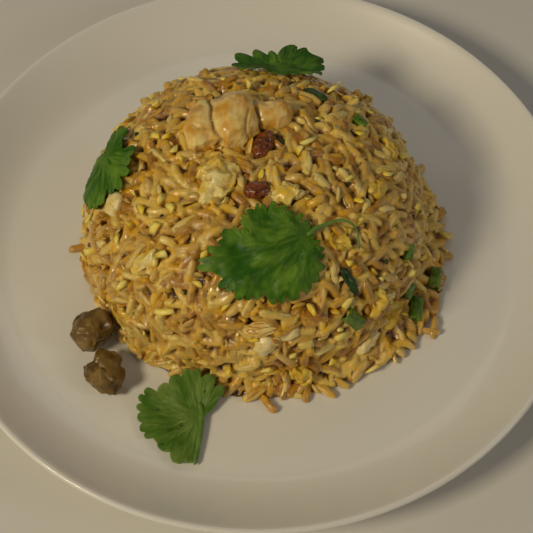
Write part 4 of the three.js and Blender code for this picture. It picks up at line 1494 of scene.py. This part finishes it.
def build_heap():
    random = np.random.default_rng(GRAIN_SEED)
    blocks = all_seats(random)

    def gathered(kinds):
        return {key: np.concatenate([blocks[kind][key] for kind in kinds]) for key in blocks["outer"]}

    def turned_by(seats, roll):
        _, outward = surface_toward(seats["centre"])
        return turned(seats["way"], outward, random.normal(0, roll, len(outward)))

    toppings = [name for name in frame["nodes"] if name not in ("plate", "rice_heap", *HEAP_LEAVES)]
    centre, way = pack(gathered(blocks), search_tree(toppings), search_tree(HEAP_LEAVES), random)
    start = 0
    for block in blocks.values():
        end = start + len(block["centre"])
        block["centre"], block["way"] = centre[start:end], way[start:end]
        start = end
    shapes = [grain_shape(f"grain_{i:02d}", random) for i in range(12)]
    build_rice_mass(gathered(["outer", "inner"]), random)
    clear = lying_clear(blocks["outer"], CLEAR_GRAINS)
    blocks["outer"] = {key: values[clear] for key, values in blocks["outer"].items()}
    _, facing = surface_toward(blocks["outer"]["centre"])
    blocks["outer"]["centre"] = blocks["outer"]["centre"] + facing * CLEAR_LIFT
    grains = gathered(["outer", "stray"])
    turns = turned_by(grains, GRAIN_ROLL)
    size = (GRAIN_LENGTH, GRAIN_WIDTH)
    pieces = scatter("rice_grains", grains, shapes, RICE, size, 3, turns, CLEAR_UNEVENNESS)
    on_plate(pieces, "rice", "rice_heap")
    for kind, material, slot, corners, cuts, thickness, roll, seed in SCRAPS:
        seats = blocks[kind]
        shapes = [scrap_shape(f"{kind}_bit_{i}", seed + 5 * i, corners, cuts, thickness) for i in range(7)]
        bits = scatter(f"{kind}_bits", seats, shapes, material, SCRAP_SIZE, seed, turned_by(seats, roll))
        on_plate(bits, slot, "rice_heap")
    for shape in [obj for obj in bpy.data.objects if not obj.users_collection]:
        bpy.data.objects.remove(shape)


build_heap()

# ---- water drops on the front leaf

# Where each bead of water lies on the front leaf, from its middle, and its radius.
DROPS = [
    (-1.2, -1.0, 0.7), (-2.2, -2.2, 0.5), (-4.8, -2.4, 0.6), (6.2, 10.2, 0.7), (-7.0, -7.6, 0.6),
    (-9, 4.5, 0.4),
]
DROP_FLATNESS = 0.62
DROP_TURNS = 14


def build_drops():
    turns = round_turns(DROP_TURNS)
    tops = np.radians([62, 35, 10, -25])
    across = np.array([1.0, 0, 0])
    points, faces = [], []
    for x, y, radius in DROPS:
        place, facing = settle_on_plate(np.array([x]), np.array([y]))
        middle = place[0] + facing[0] * 0.55
        ring = np.outer(np.cos(turns), across) + np.outer(np.sin(turns), np.cross(facing[0], across))
        rise = facing[0] * radius * DROP_FLATNESS
        rows = [middle + ring * radius * math.cos(top) + rise * math.sin(top) for top in tops]
        first = len(points)
        points += [middle + rise, *np.concatenate(rows), middle - facing[0] * radius * 0.4]
        faces += [tuple(first + v for v in face) for face in tube_faces(len(tops), DROP_TURNS)]
    mesh = mesh_from("water_drops", np.array(points) + (0, 0, HEAP_BASE), faces)
    on_plate(new_object("water_drops", mesh, [water_material()]), "leaf")


build_drops()

# ---- table and light

TABLE_HALF = 3000  # out past every view

# Square soft lights: name, place, size, power and colour.
LIGHTS = [
    ("key", (-660, -440, 720), 240, 5.1, "#FFEECA"),
    ("fill", (700, -300, 500), 240, 0.7, "#FFF6EA"),
    ("back", (60, 760, 620), 500, 0.45, "#FFF8EE"),
]
LIGHTS_TARGET = (0, 0, 30)


def build_table():
    corners = [(x * TABLE_HALF, y * TABLE_HALF, 0) for x, y in ((-1, -1), (1, -1), (1, 1), (-1, 1))]
    mesh = mesh_from("table_top", corners, [(0, 1, 2, 3)])
    new_object("table_top", mesh, [table_material()])


def light_scene():
    for name, place, size, power, colour in LIGHTS:
        light = bpy.data.lights.new(name, "AREA")
        light.size = size * MM
        light.energy = power
        light.color = linear(colour)[:3]
        aimed(name, light, place, LIGHTS_TARGET)
    world = bpy.data.worlds.new("soft grey")
    bpy.context.scene.world = world
    world.use_nodes = True
    give(world.node_tree.nodes["Background"], {"Color": "#E4DED2", "Strength": 0.13})
    bpy.context.scene.view_settings.view_transform = "Standard"


build_table()
light_scene()
